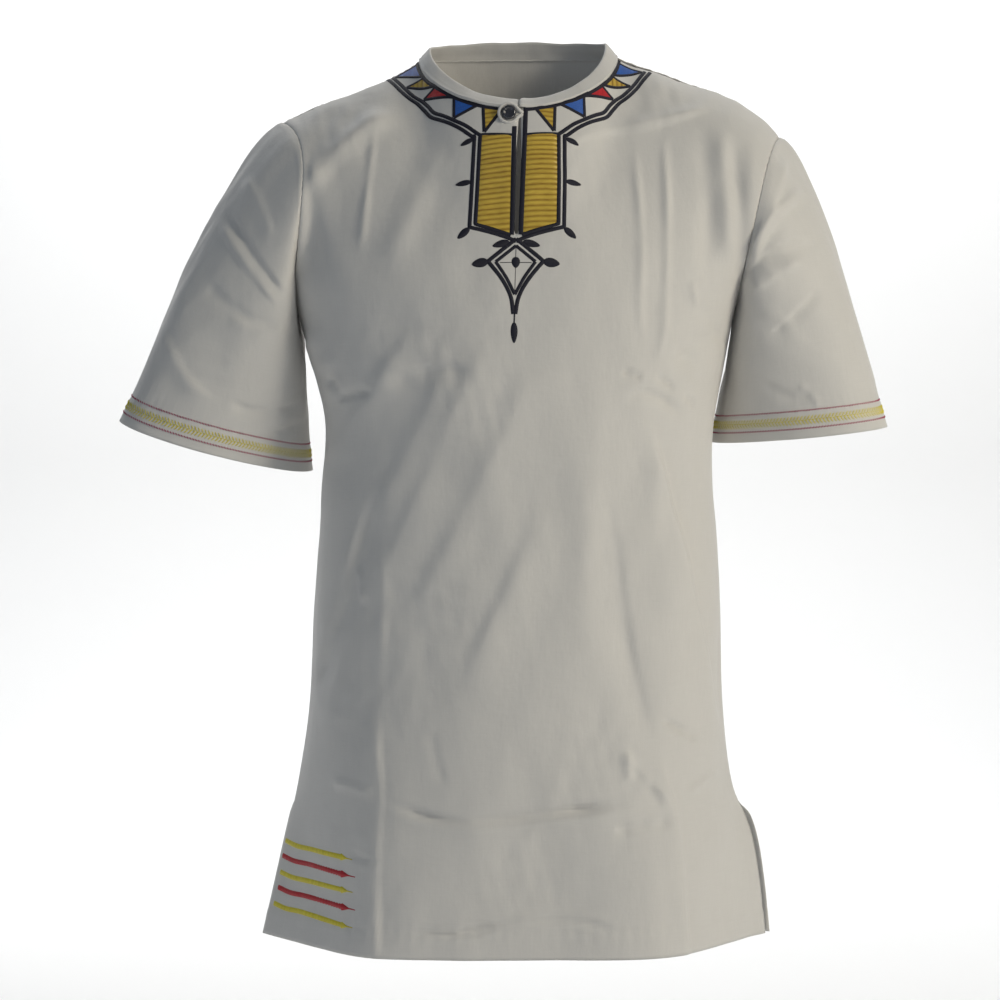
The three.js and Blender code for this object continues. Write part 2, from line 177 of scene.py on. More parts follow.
# The armhole seam, s from 0 at the underarm to 1 at the shoulder tip.
def armholePoint(face, side, s):
    tip = tipOf(side)
    notch = np.where(side < 0, sleeveRight["notch"], sleeveLeft["notch"])
    swell = np.sin(s * np.pi) * shirt["armhole"][face]
    cut = notch * np.sin(s ** shirt["notchPower"] * np.pi) * (face == "front")
    out = mix(shirt["underarmHalf"], tip, s ** shirt["armholeLean"]) - cut
    height = mix(shirt["underarmZ"], ridgeHeight(side, tip), climb(s))
    return np.stack([side * out, mix(0, shirt["tipY"], s) + swell, height], -1)


# A column of the panel above the underarm level: a cubic from the ring up to the upper edge.
def columnPoint(face, u, s):
    low = shirt["underarmZ"] + 0 * u
    foot = ringPoint(face, u, low, smooth(climb(s) / shirt["bowFrom"]))
    step = shirt["slopeStep"]
    pull = ringPoint(face, u, low) - ringPoint(face, u, low - step)
    head = topPoint(face, u)
    overFrom, overSpan = shirt["over"]
    over = smooth((np.abs(u) - overFrom) / overSpan)
    inward = 1 if face == "front" else -1
    reach = np.stack([0 * over, inward * mix(*shirt["reachIn"], over), mix(*shirt["reachUp"], over)], -1)
    return hermite(foot, pull * ((head[..., 2:] - foot[..., 2:]) / step), head, reach, climb(s)[..., None])


# A panel: u from -1 to 1 across, v from 0 at the hem to 1 at the underarm and 2 at the upper edge.
def panelPoint(face, u, v):
    u, v = np.broadcast_arrays(np.asarray(u, float), np.asarray(v, float))
    side = sideOf(u)
    low = ringPoint(face, u, mix(shirt["hemZ"], shirt["underarmZ"], np.minimum(v, 1)))
    s = np.clip(v - 1, 0, 1)
    cut = armholePoint(face, side, s) - columnPoint(face, side, s)
    high = columnPoint(face, u, s) + cut * (np.abs(u) ** shirt["bowPower"])[..., None]
    point = np.where((v <= 1)[..., None], low, high)
    below = shirt["ventTop"] - point[..., 2]
    spread = smooth(below / (shirt["ventTop"] - shirt["hemZ"])) * np.abs(u) ** shirt["ventSpreadPower"]
    point[..., 1] += (-1 if face == "front" else 1) * spread * shirt["ventSpread"]
    if face == "back":
        edge = np.clip(u, 0, 1) ** shirt["ventFlarePower"]
        point[..., 0] += shirt["ventFlare"] * smooth(below / shirt["ventFlareSoft"]) * edge
    return point


# A sleeve: a cubic from the armhole's ring to the cuff's tilted ellipse. turn goes round by the front,
# the top and the back, and t goes down to the cuff.
def sleevePoint(sleeve, turn, t):
    turn, t = np.broadcast_arrays(np.asarray(turn, float), np.asarray(t, float))
    side = sleeve["side"]
    up = ((1 - np.cos(turn * 2 * np.pi)) / 2)[..., None]
    forward = np.sin(turn * 2 * np.pi)[..., None]
    half = np.where(turn < 0.5, turn * 2, (1 - turn) * 2)
    sides = side + 0 * half
    isFront = (turn < 0.5)[..., None]
    ring = np.where(isFront, armholePoint("front", sides, half), armholePoint("back", sides, half))
    outer, inner = np.array(sleeve["outer"], float), np.array(sleeve["inner"], float)
    middle = mix(outer, inner, 1 - up) * (side, 1, 1)
    cuff = middle - forward * np.array([0, sleeve["deep"], sleeve["drop"]])

    def pull(low, high):
        below, above = (np.array([side * out, 0, -down]) for out, down in (low, high))
        return below * (1 - up) + above * up

    flow = sleeveFlow
    swell = np.concatenate([0 * forward, -flow["bulge"] * forward, -flow["sag"] * np.abs(forward)], -1)
    leave = pull(sleeve["under"], sleeve["top"]) + swell
    swell = np.concatenate([0 * forward, flow["cuffBulge"] * forward, 0 * forward], -1)
    arrive = pull(flow["inner"], sleeve["end"]) + swell
    return hermite(ring, leave, cuff, arrive, t[..., None])


# Folds and pressed lines. Every one is (height, width on the upper side or the side of
# +x, width on the other side, places as x and z). A height below nought is a crease pressed in.
frontFolds = [
    (2.0, 2.6, 16, [(-122, -590), (-122, -640), (-120, -684), (-122, -720), (-124, -761), (-124, -850)]),
    (1.3, 5, 7, [(-121, -450), (-118, -490), (-119.5, -529), (-121, -600)]),
    (3.1, 3, 10, [(127, -640), (134, -680), (141, -704), (147, -760), (153, -850)]),
    (2.4, 5, 12, [(-119, -684), (-91, -693), (-62, -699), (-14, -703), (25, -699), (64, -696),
                  (101, -691), (126, -692)]),
    (-2.4, 4, 5, [(84, -712), (108, -707), (125, -706), (143, -701)]),
    (3.5, 4, 5, [(92, -640), (103, -654), (115, -668), (128, -680), (134, -694)]),
    (-3.3, 4, 4, [(98, -650), (110, -664), (122, -677), (130, -692)]),
    (2.2, 4, 4, [(99, -640), (98, -655), (102, -668)]),
    (-3.5, 2.5, 3, [(128, -614), (140, -620), (152, -627), (166, -634)]),
    (1.9, 3, 3, [(152, -682), (168, -676), (180, -670), (190, -667)]),
    (1.9, 3, 5, [(-170, -671), (-148, -675), (-125, -678)]),
    (-1.9, 3, 3, [(-152, -736), (-136, -738), (-119, -741)]),
    (2.4, 4, 9, [(-106, -794), (-84, -799), (-62, -798), (-32, -793), (12, -788), (65, -788), (98, -798)]),
    (2.4, 3, 12, [(116, -340), (124, -375), (135, -409), (157, -492), (177, -580), (190, -640)]),
    (-4.8, 20, 4, [(122, -342), (130, -375), (141, -409), (163, -492), (182, -580), (194, -640)]),
    (-2.2, 4, 14, [(84, -420), (92, -480), (104, -560), (124, -640)]),
    (-1.0, 3, 6, [(-76, -620), (-70, -646), (-62, -672)]),
    (-3.3, 3, 5, [(96, -330), (112, -322), (134, -330), (152, -346)]),
    (1.9, 8, 10, [(128, -360), (124, -400), (122, -440), (117, -470)]),
    (2.4, 3, 4, [(135, -80), (136, -150), (135, -215), (132, -266), (123, -305)]),
    (1.9, 3, 4, [(107, -92), (112, -180), (111, -247), (115, -285)]),
    (1.9, 3, 3, [(157, -220), (163, -248)]),
    (-3.0, 2.5, 3, [(93, -304), (112, -310)]),
    (-3.3, 2.5, 3, [(124, -308), (143, -320)]),
    (-2.7, 2.5, 3, [(150, -326), (162, -333)]),
    (-3.1, 4, 9, [(-118, -303), (-108, -309), (-91, -306), (-62, -301), (-32, -308)]),
    (-2.7, 3, 4, [(-156, -326), (-142, -322), (-126, -321)]),
    (-3.3, 3, 4, [(-170, -306), (-162, -316), (-153, -331)]),
    (3.2, 20, 11, [(-48, -286), (-67, -321), (-97, -382), (-128, -444), (-159, -505)]),
    (2.9, 18, 10, [(-14, -258), (-32, -295), (-62, -365), (-93, -435), (-133, -514)]),
    (2.6, 18, 10, [(22, -290), (4, -330), (-23, -391), (-54, -453), (-89, -523)]),
    (2.6, 16, 8, [(24, -420), (2, -480), (-26, -540), (-50, -600)]),
    (2.6, 14, 8, [(-84, -262), (-112, -300), (-142, -345), (-168, -392)]),
    (-5.4, 3.0, 4.5, [(-122, -683), (-71, -698), (-18, -700), (48, -692), (105, -686)]),
    (-4.1, 2.6, 4, [(-104, -797), (-60, -801), (-10, -792), (50, -789), (96, -800)]),
    (-5.4, 12, 5, [(-118, -400), (-128, -427), (-142, -471), (-156, -513), (-171, -551),
                   (-186, -605)]),
    (2.2, 4, 4, [(-143, -478), (-140, -496), (-134, -512)]),
    (5.8, 12, 10, [(-196, -146), (-181, -125), (-154, -98), (-127, -77), (-101, -64)]),
    (2.9, 12, 14, [(-66, -98), (-74, -115), (-87, -151), (-104, -188), (-120, -222)]),
    (1.9, 3, 4, [(-127, -80), (-132, -135), (-138, -200)]),
    (-3.0, 10, 9, [(-204, -74), (-194, -112), (-187, -150), (-184, -195), (-188, -236)]),
    (2.9, 8, 3.5, [(44, -122), (46, -106), (58, -94), (79, -86), (112, -79), (151, -68), (186, -57)]),
    (-2.4, 8, 9, [(168, -66), (172, -110), (175, -165), (170, -235)]),
    (-2.7, 9, 7, [(196, -84), (200, -130), (204, -180), (202, -240)]),
    (2.9, 8, 8, [(186, -74), (188, -110), (190, -160), (190, -210)]),
    (-4.2, 12, 9, [(196, -262), (182, -270), (160, -284), (140, -305)]),
    (3.2, 10, 12, [(-196, -262), (-184, -276), (-170, -300), (-160, -335)]),
    (2.6, 14, 18, [(70, -300), (66, -400), (60, -500), (66, -600)]),
    (3.2, 18, 22, [(150, -420), (140, -500), (136, -560), (130, -620)]),
]
backFolds = [
    (3.8, 14, 20, [(-8, -120), (-6, -210), (-12, -320), (-8, -440)]),
    (4.2, 8, 16, [(112, -560), (116, -640), (120, -720), (122, -850)]),
    (3.8, 16, 8, [(-110, -540), (-116, -620), (-119, -720), (-121, -850)]),
    (7.2, 22, 30, [(60, -150), (98, -205), (132, -262), (168, -330)]),
    (7.2, 22, 30, [(-56, -150), (-94, -200), (-134, -258), (-172, -320)]),
    (5.1, 16, 12, [(90, -96), (128, -130), (166, -180), (196, -226)]),
    (5.1, 16, 12, [(-86, -98), (-126, -134), (-162, -182), (-190, -228)]),
    (-4.8, 10, 12, [(-150, -392), (-100, -408), (-40, -412), (20, -404)]),
    (-4.2, 9, 12, [(10, -438), (60, -446), (112, -440), (156, -424)]),
    (3.5, 8, 10, [(-160, -440), (-112, -456), (-52, -462)]),
    (2.2, 5, 10, [(-112, -688), (-60, -698), (0, -702), (58, -697), (116, -690)]),
    (2.2, 4, 9, [(-96, -796), (-30, -790), (44, -793), (110, -799)]),
    (-2.6, 3, 3, [(-60, -560), (-40, -566), (-18, -576)]),
    (2.6, 4, 4, [(40, -612), (52, -628), (70, -640)]),
    (2.2, 4, 5, [(44, -130), (46, -220), (42, -300)]),
    (1.9, 4, 5, [(-48, -150), (-52, -240), (-47, -330)]),
    (2.9, 14, 18, [(70, -470), (62, -560), (66, -640)]),
    (2.9, 18, 14, [(-66, -480), (-72, -560), (-64, -650)]),
]
sleeveRightFolds = [
    (-3.2, 3, 9, [(-268, -150), (-250, -178), (-236, -199), (-222, -218), (-208, -236)]),
    (2.6, 10, 3, [(-276, -158), (-258, -186), (-243, -207), (-228, -226), (-212, -246)]),
    (2.2, 3, 10, [(-330, -250), (-319, -272), (-297, -311), (-268, -334)]),
    (-1.4, 4, 9, [(-286, -214), (-262, -240), (-236, -256), (-210, -262)]),
    (1.6, 4, 8, [(-262, -250), (-244, -262), (-226, -266), (-206, -262)]),
    (-2.1, 3, 6, [(-262, -330), (-238, -338), (-215, -336), (-196, -330)]),
    (-1.6, 3, 5, [(-232, -362), (-212, -356), (-190, -346)]),
    (1.3, 4, 8, [(-252, -118), (-240, -136), (-228, -160), (-220, -186)]),
    (2.0, 16, 20, [(-290, -160), (-302, -215), (-314, -275), (-322, -310)]),
    (-1.5, 12, 16, [(-262, -262), (-270, -290), (-276, -322)]),
]
sleeveLeftFolds = [
    (2.6, 4, 10, [(209, -206), (219, -182), (233, -161), (248, -146), (268, -128)]),
    (-2.3, 3, 7, [(213, -214), (225, -190), (239, -169), (254, -154), (274, -138)]),
    (2.4, 4, 6, [(254, -98), (243, -124), (232, -152), (222, -178), (212, -204)]),
    (-2.9, 3, 10, [(208, -219), (221, -203), (237, -194), (262, -187), (276, -188)]),
    (2.3, 8, 4, [(212, -232), (228, -220), (246, -209), (266, -202)]),
    (-2.2, 2.5, 7, [(230, -272), (240, -263), (254, -251), (268, -237), (282, -222)]),
    (1.1, 6, 10, [(214, -246), (232, -250), (250, -264), (262, -284)]),
    (-1.5, 3, 6, [(222, -310), (236, -318), (252, -325), (276, -322)]),
    (1.1, 3, 4, [(256, -312), (268, -322), (280, -336)]),
    (1.5, 14, 18, [(292, -170), (306, -220), (318, -270)]),
]
sleeveBackFolds = [  # of either sleeve, with x counted outwards
    (-3.8, 9, 12, [(222, -150), (240, -176), (262, -200), (286, -216)]),
    (3.0, 10, 12, [(214, -200), (236, -222), (262, -240)]),
    (2.0, 8, 9, [(240, -290), (266, -300), (292, -296)]),
    (-2.3, 6, 6, [(222, -330), (246, -334), (270, -326)]),
]


# A smooth path through points: each span is a cubic whose slopes follow its neighbours.
def pathThrough(points, perSpan=8):
    points = np.array(points, float)
    ends = np.concatenate([2 * points[:1] - points[1:2], points, 2 * points[-1:] - points[-2:-1]])
    slopes = (ends[2:] - ends[:-2]) / 2
    t = np.linspace(0, 1, perSpan, endpoint=False)[None, :, None]
    spans = hermite(points[:-1, None], slopes[:-1, None], points[1:, None], slopes[1:, None], t)
    return np.concatenate([spans.reshape(-1, points.shape[1]), points[-1:]])


# How far a fold reaches in widths, its share that fades out at each end, and the waves in its height.
foldLooks = {"reach": 2.6, "fade": 0.22, "waves": [(0.22, 9), (0.14, 21)]}


# Height of the folds at places seen flat: along each path a bell of its own width on either side,
# which fades out at both ends and is uneven between them.
def foldHeight(places, folds, seed):
    flat = places.reshape(-1, 2)
    total = np.zeros(len(flat))
    rng = np.random.default_rng(seed)
    for height, above, below, points in folds:
        path = pathThrough(points)
        phases = rng.uniform(0, 2 * np.pi, 2)
        reach = foldLooks["reach"] * max(above, below)
        near = np.all((flat > path.min(0) - reach) & (flat < path.max(0) + reach), axis=1)
        spot = flat[near]
        start, run = path[:-1], np.diff(path, axis=0)
        length = np.linalg.norm(run, axis=1)
        t = np.clip(((spot[:, None] - start) * run).sum(-1) / length**2, 0, 1)
        away = spot[:, None] - (start + t[..., None] * run)
        far = np.hypot(away[..., 0], away[..., 1])
        best = far.argmin(1)
        rows = np.arange(len(spot))
        offset = spot - start[best]
        side = run[best, 0] * offset[:, 1] - run[best, 1] * offset[:, 0]
        before = np.concatenate([[0], np.cumsum(length)])[best]
        along = (before + t[rows, best] * length[best]) / length.sum()
        width = np.where(side > 0, above, below)
        ends = smooth(np.minimum(along, 1 - along) / foldLooks["fade"])
        uneven = 1.0
        for (size, rate), phase in zip(foldLooks["waves"], phases):
            uneven = uneven + size * np.sin(along * rate + phase)
        total[near] += height * uneven * ends * bell(far[rows, best], width)
    return total.reshape(places.shape[:-1])


# Smooth uneven ground: many waves in different directions, longer up than across by the stretch.
def rumple(places, wavelength, stretch, seed, count=18, spread=(0.7, 1.5)):
    rng = np.random.default_rng(seed)
    total = np.zeros(places.shape[:-1])
    for _ in range(count):
        angle, phase = rng.uniform(0, 2 * np.pi, 2)
        size = 2 * np.pi / (wavelength * rng.uniform(*spread))
        across, up = np.cos(angle) * size, np.sin(angle) * size / stretch
        total += np.sin(places[..., 0] * across + places[..., 1] * up + phase)
    return total / math.sqrt(count)


# Rumples of two sizes, each as (height, wavelength, stretch), and fine ones that come in patches.
def rumpled(places, kinds, seed):
    total = 0.0
    for number, (height, wavelength, stretch) in enumerate(kinds["plain"]):
        total = total + height * rumple(places, wavelength, stretch, seed + 1 + number)
    share, wavelength, stretch, least = kinds["patches"]
    patchy = smooth(rumple(places, wavelength, stretch, seed + 3) * share + least)
    height, wavelength, stretch = kinds["fine"]
    return total + height * patchy * rumple(places, wavelength, stretch, seed + 4, 26)


# The quads of a grid of numbered points. wrap joins the last column to the first.
def gridFaces(rows, cols, start=0, wrap=False):
    ids = np.arange(rows * cols).reshape(rows, cols) + start
    if wrap:
        ids = np.concatenate([ids, ids[:, :1]], 1)
    return np.stack([ids[:-1, :-1], ids[:-1, 1:], ids[1:, 1:], ids[1:, :-1]], -1).reshape(-1, 4)


# The quads of a wall: its outer grid, its inner one and the rims round what is kept of it. Gives
# them twice, numbered by point and by corner of the flat cloth, because a wrapped grid's last
# column shares its points with the first but not its place on the cloth.
def wallFaces(rows, across, wrap, keep):
    ids = np.arange(rows * across).reshape(rows, across)
    corners = np.arange(rows * (across + wrap)).reshape(rows, across + wrap)
    if wrap:
        ids = np.concatenate([ids, ids[:, :1]], 1)

    def quads(grid):
        return np.stack([grid[:-1, :-1], grid[:-1, 1:], grid[1:, 1:], grid[1:, :-1]], -1)

    below = np.concatenate([np.zeros_like(keep[:1]), keep[:-1]])
    above = np.concatenate([keep[1:], np.zeros_like(keep[:1])])
    blank = np.zeros_like(keep[:, :1])
    left = np.roll(keep, 1, 1) if wrap else np.concatenate([blank, keep[:, :-1]], 1)
    right = np.roll(keep, -1, 1) if wrap else np.concatenate([keep[:, 1:], blank], 1)
    faces = []
    for grid, shift in ((ids, rows * across), (corners, 0)):
        cell = quads(grid)
        a, b, c, d = (cell[..., k] for k in range(4))
        rims = [(a, b, keep & ~below), (c, d, keep & ~above), (d, a, keep & ~left), (b, c, keep & ~right)]
        parts = [cell[keep], cell[keep][:, ::-1] + shift]
        parts += [np.stack([p[m], p[m] + shift, q[m] + shift, q[m]], -1) for p, q, m in rims]
        faces.append(np.concatenate(parts))
    return faces


# A piece from points in millimetres and quads, with its place on the flat cloth as its UV map.
def makeMesh(name, points, faces, material, uv=None, uvFaces=None):
    mesh = bpy.data.meshes.new(name)
    size = faces.shape[1]
    mesh.vertices.add(len(points))
    mesh.vertices.foreach_set("co", (points * mm).astype(np.float32).ravel())
    mesh.loops.add(faces.size)
    mesh.loops.foreach_set("vertex_index", faces.astype(np.int32).ravel())
    mesh.polygons.add(len(faces))
    mesh.polygons.foreach_set("loop_start", np.arange(0, faces.size, size, dtype=np.int32))
    mesh.polygons.foreach_set("use_smooth", np.ones(len(faces), bool))
    if uv is not None:
        corners = (faces if uvFaces is None else uvFaces).ravel()
        layer = mesh.uv_layers.new(name="cloth")
        layer.data.foreach_set("uv", (uv[corners] * mm).astype(np.float32).ravel())
    mesh.update(calc_edges=True)
    mesh.validate(clean_customdata=False)
    mesh.materials.append(material)
    piece = bpy.data.objects.new(name, mesh)
    bpy.context.scene.collection.objects.link(piece)
    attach(piece, "root")
    return piece


# Outward normals of a grid whose columns run to the right and rows up, as seen from outside.
def gridNormals(grid, wrap=False):
    if wrap:
        wide = np.concatenate([grid[:, -1:], grid, grid[:, :1]], 1)
        right = wide[:, 2:] - wide[:, :-2]
    else:
        right = np.gradient(grid, axis=1)
    return unit(np.cross(right, np.gradient(grid, axis=0)))


# Lengths over the cloth: across from the middle column, and up from the lowest row.
def clothLengths(grid, wrap=False):
    if wrap:
        grid = np.concatenate([grid, grid[:, :1]], 1)
    across = np.linalg.norm(np.diff(grid, axis=1), axis=-1)
    up = np.linalg.norm(np.diff(grid, axis=0), axis=-1)
    across = np.concatenate([np.zeros((len(grid), 1)), np.cumsum(across, 1)], 1)
    across -= across[:, across.shape[1] // 2][:, None]
    up = np.concatenate([np.zeros((1, grid.shape[1])), np.cumsum(up, 0)])
    return np.stack([across, up], -1)


# A cloth piece: the outer grid, a second one inside it by the thickness, and rims between.
def clothPiece(name, outer, thickness, material, wrap=False, keep=None):
    rows, across = outer.shape[:2]
    if keep is None:
        keep = np.ones((rows - 1, across - (not wrap)), bool)
    normals = gridNormals(outer, wrap)
    inner = outer - normals * np.broadcast_to(thickness, outer.shape[:2])[..., None]
    faces, uvFaces = wallFaces(rows, across, wrap, keep)
    points = np.concatenate([outer.reshape(-1, 3), inner.reshape(-1, 3)])
    lengths = clothLengths(outer, wrap).reshape(-1, 2)
    return makeMesh(name, points, faces, material, lengths, uvFaces)


# Reads a grid of points between its nodes, at row and column numbers with fractions.
def sample(grid, row, col):
    rows, cols = grid.shape[:2]
    row, col = np.clip(row, 0, rows - 1.001), np.clip(col, 0, cols - 1.001)
    i, j = row.astype(int), col.astype(int)
    a, b = (row - i)[..., None], (col - j)[..., None]
    return mix(mix(grid[i, j], grid[i, j + 1], b), mix(grid[i + 1, j], grid[i + 1, j + 1], b), a)


# A shader node with its settings, and the values of its sockets by name or number.
def node(tree, kind, sockets=None, **settings):
    made = tree.nodes.new("ShaderNode" + kind)
    for name, value in settings.items():
        setattr(made, name, value)
    for key, value in (sockets or {}).items():
        made.inputs[key].default_value = value
    return made


def maths(tree, operation, first, second=None):
    made = node(tree, "Math", operation=operation)
    for socket, value in zip(made.inputs, (first, second)):
        if isinstance(value, (int, float)):
            socket.default_value = value
        elif value is not None:
            tree.links.new(value, socket)
    return made.outputs[0]


# A shader node group with named inputs and outputs, empty but for its two ends.
def newGroup(name, inputs, outputs):
    tree = bpy.data.node_groups.new(name, "ShaderNodeTree")
    for label, kind, value in inputs:
        made = tree.interface.new_socket(name=label, in_out="INPUT", socket_type="NodeSocket" + kind)
        if value is not None:
            made.default_value = value
    for label, kind in outputs:
        tree.interface.new_socket(name=label, in_out="OUTPUT", socket_type="NodeSocket" + kind)
    return tree, tree.nodes.new("NodeGroupInput"), tree.nodes.new("NodeGroupOutput")


def scaled(tree, vector, x, y, z):
    made = node(tree, "VectorMath", {1: (x, y, z)}, operation="MULTIPLY")
    tree.links.new(vector, made.inputs[0])
    return made.outputs[0]


def noise(tree, vector, scale, detail, roughness=0.5):
    made = node(tree, "TexNoise", {"Scale": scale, "Detail": detail, "Roughness": roughness})
    tree.links.new(vector, made.inputs["Vector"])
    return made.outputs


weaveLooks = {"wanderScale": 900, "wander": 0.0012, "slubFine": 1400, "slubLong": 45, "slubDeep": 0.8}


# Plain weave: two sets of rounded threads, each over the other in turn, with slubs along both.
def weaveGroup():
    looks = weaveLooks
    tree, enter, leave = newGroup(
        "plain weave",
        [("Cloth", "Vector", None), ("Pitch", "Float", 0.00045)],
        [("Height", "Float"), ("Tone", "Float")],
    )
    cloth = enter.outputs["Cloth"]
    wander = noise(tree, cloth, looks["wanderScale"], 1)["Color"]
    shift = node(tree, "VectorMath", operation="ADD")
    tree.links.new(cloth, shift.inputs[0])
    tree.links.new(scaled(tree, wander, looks["wander"], looks["wander"], 0), shift.inputs[1])
    parts = node(tree, "SeparateXYZ")
    tree.links.new(shift.outputs[0], parts.inputs[0])
    half = maths(tree, "DIVIDE", math.pi, enter.outputs["Pitch"])
    warp = maths(tree, "SINE", maths(tree, "MULTIPLY", parts.outputs[0], half))
    weft = maths(tree, "SINE", maths(tree, "MULTIPLY", parts.outputs[1], half))
    over = maths(tree, "GREATER_THAN", maths(tree, "MULTIPLY", warp, weft), 0.0)
    upright = maths(tree, "MULTIPLY", maths(tree, "ABSOLUTE", warp), over)
    level = maths(tree, "MULTIPLY", maths(tree, "ABSOLUTE", weft), maths(tree, "SUBTRACT", 1.0, over))
    threads = maths(tree, "ADD", upright, level)
    fine, long = looks["slubFine"], looks["slubLong"]
    slubUp = noise(tree, scaled(tree, cloth, fine, long, 1), 1, 2)[0]
    slubAcross = noise(tree, scaled(tree, cloth, long, fine, 1), 1, 2)[0]
    slubs = maths(tree, "ADD", slubUp, slubAcross)
    height = maths(tree, "ADD", threads, maths(tree, "MULTIPLY", slubs, looks["slubDeep"]))
    tree.links.new(height, leave.inputs["Height"])
    tree.links.new(maths(tree, "MULTIPLY", slubs, 0.5), leave.inputs["Tone"])
    return tree


# Satin stitch: fine parallel threads across a ribbon, each a little lighter or darker, with painted shade
# along the grooves between them and painted highlight on their rounded tops.
def satinGroupWithGrooveShade():
    tree, enter, leave = newGroup(
        "satin stitch",
        [("Cloth", "Vector", None), ("Pitch", "Float", 0.0004)],
        [("Height", "Float"), ("Tone", "Float")],
    )
    parts = node(tree, "SeparateXYZ")
    tree.links.new(enter.outputs["Cloth"], parts.inputs[0])
    rows = maths(tree, "DIVIDE", parts.outputs[1], enter.outputs["Pitch"])
    ribs = maths(tree, "ABSOLUTE", maths(tree, "SINE", maths(tree, "MULTIPLY", rows, math.pi)))
    threads = node(tree, "TexWhiteNoise", noise_dimensions="1D")
    tree.links.new(maths(tree, "FLOOR", rows), threads.inputs["W"])
    patches = noise(tree, scaled(tree, enter.outputs["Cloth"], 120, 500, 1), 1, 2)[0]
    byThread = maths(tree, "MULTIPLY", threads.outputs[0], 0.15)
    tone = maths(tree, "ADD", byThread, maths(tree, "MULTIPLY", patches, 0.4))
    # Painted shade and highlight: the tone follows the rounded rows, darker in the grooves between threads
    # and lighter on their tops.
    tone = maths(tree, "ADD", tone, maths(tree, "MULTIPLY", ribs, 0.45))
    tree.links.new(ribs, leave.inputs["Height"])
    tree.links.new(tone, leave.inputs["Tone"])
    return tree


weave, satin = weaveGroup(), satinGroupWithGrooveShade()


# A material whose shader has these plain values, with _ for each space in a socket's name.
def newMaterial(name, **sockets):
    material = bpy.data.materials.new(name)
    material.use_nodes = True
    tree = material.node_tree
    shader = tree.nodes["Principled BSDF"]
    for label, value in sockets.items():
        shader.inputs[label.replace("_", " ")].default_value = value
    return material, tree, shader


def ramp(tree, factor, stops):
    made = node(tree, "ValToRGB")
    elements = made.color_ramp.elements
    while len(elements) < len(stops):
        elements.new(0.5)
    for element, (place, color) in zip(elements, stops):
        element.position = place
        element.color = (*color, 1)
    tree.links.new(factor, made.inputs[0])
    return made.outputs[0]


# Bumps laid over each other, each as (height, strength, distance in metres).
def bump(tree, shader, heights):
    last = None
    for height, strength, distance in heights:
        made = node(tree, "Bump", {"Strength": strength, "Distance": distance})
        tree.links.new(height, made.inputs["Height"])
        if last is not None:
            tree.links.new(last, made.inputs["Normal"])
        last = made.outputs[0]
    tree.links.new(last, shader.inputs["Normal"])


cottonLooks = {
    "color": (0.618, 0.602, 0.572), "shade": 0.93, "pitch": 0.00045,
    "roughness": 0.62, "sheen": 0.22, "weaveDeep": 0.00002, "rumpleDeep": 0.001,
}


# Plain woven cotton with a faint sheen: slubs, soft mottling and small pressed-in rumples.
def cottonMaterial(name, tint=1.0):
    looks = cottonLooks
    material, tree, shader = newMaterial(
        name, Roughness=looks["roughness"], Sheen_Weight=looks["sheen"], Sheen_Roughness=0.5,
        Specular_IOR_Level=0.32,
    )
    place = node(tree, "TexCoord")
    cloth, spot = place.outputs["UV"], place.outputs["Object"]
    threads = node(tree, "Group", node_tree=weave)
    threads.inputs["Pitch"].default_value = looks["pitch"]
    tree.links.new(cloth, threads.inputs["Cloth"])
    mottle = noise(tree, scaled(tree, spot, 1, 1, 0.45), 9, 3, 0.55)[0]
    slubs = maths(tree, "MULTIPLY", threads.outputs["Tone"], 0.6)
    tone = maths(tree, "ADD", slubs, maths(tree, "MULTIPLY", mottle, 0.4))
    light = tuple(min(1, c * tint) for c in looks["color"])
    dark = tuple(c * looks["shade"] for c in light)
    tree.links.new(ramp(tree, tone, [(0.36, dark), (0.64, light)]), shader.inputs["Base Color"])
    folds = noise(tree, scaled(tree, spot, 1, 1, 0.4), 26, 4, 0.5)[0]
    fine = noise(tree, scaled(tree, spot, 1, 1, 0.8), 110, 3, 0.6)[0]
    bump(tree, shader, [(folds, 0.55, looks["rumpleDeep"] * 3), (fine, 0.25, looks["rumpleDeep"]),
                        (threads.outputs["Height"], 0.5, looks["weaveDeep"])])
    return material


# Glossy embroidery thread in one colour, from its dark to its light, with painted shade in the grooves
# between its stitches and painted highlight on their tops.
def threadMaterial(name, dark, light, pitch=0.0004, roughness=0.42, deep=0.00012, sheen=0.04):
    material, tree, shader = newMaterial(
        name, Roughness=roughness, Sheen_Weight=sheen, Sheen_Roughness=0.4, Specular_IOR_Level=0.35,
    )
    place = node(tree, "TexCoord")
    threads = node(tree, "Group", node_tree=satin)
    threads.inputs["Pitch"].default_value = pitch
    tree.links.new(place.outputs["UV"], threads.inputs["Cloth"])
    # The tone carries painted shade in the stitch grooves and painted highlight on the stitch tops, as well
    # as each thread's own lighter or darker tone.
    color = ramp(tree, threads.outputs["Tone"], [(0.2, dark), (0.8, light)])
    tree.links.new(color, shader.inputs["Base Color"])
    bump(tree, shader, [(threads.outputs["Height"], 0.7, deep)])
    return material


# Glossy black plastic with faint swirls and fine wear.
def buttonMaterial():
    material, tree, shader = newMaterial(
        "button gloss", Roughness=0.16, Coat_Weight=0.6, Coat_Roughness=0.05, Specular_IOR_Level=0.6,
    )
    place = node(tree, "TexCoord")
    swirl = noise(tree, place.outputs["Object"], 260, 4, 0.6)[0]
    wear = noise(tree, place.outputs["Object"], 1400, 2, 0.5)[0]
    tree.links.new(ramp(tree, swirl, [(0.3, (0.010, 0.010, 0.014)), (0.75, (0.026, 0.026, 0.036))]),
                   shader.inputs["Base Color"])
    rough = maths(tree, "ADD", 0.1, maths(tree, "MULTIPLY", wear, 0.16))
    tree.links.new(rough, shader.inputs["Roughness"])
    bump(tree, shader, [(wear, 0.15, 0.00008)])
    return material


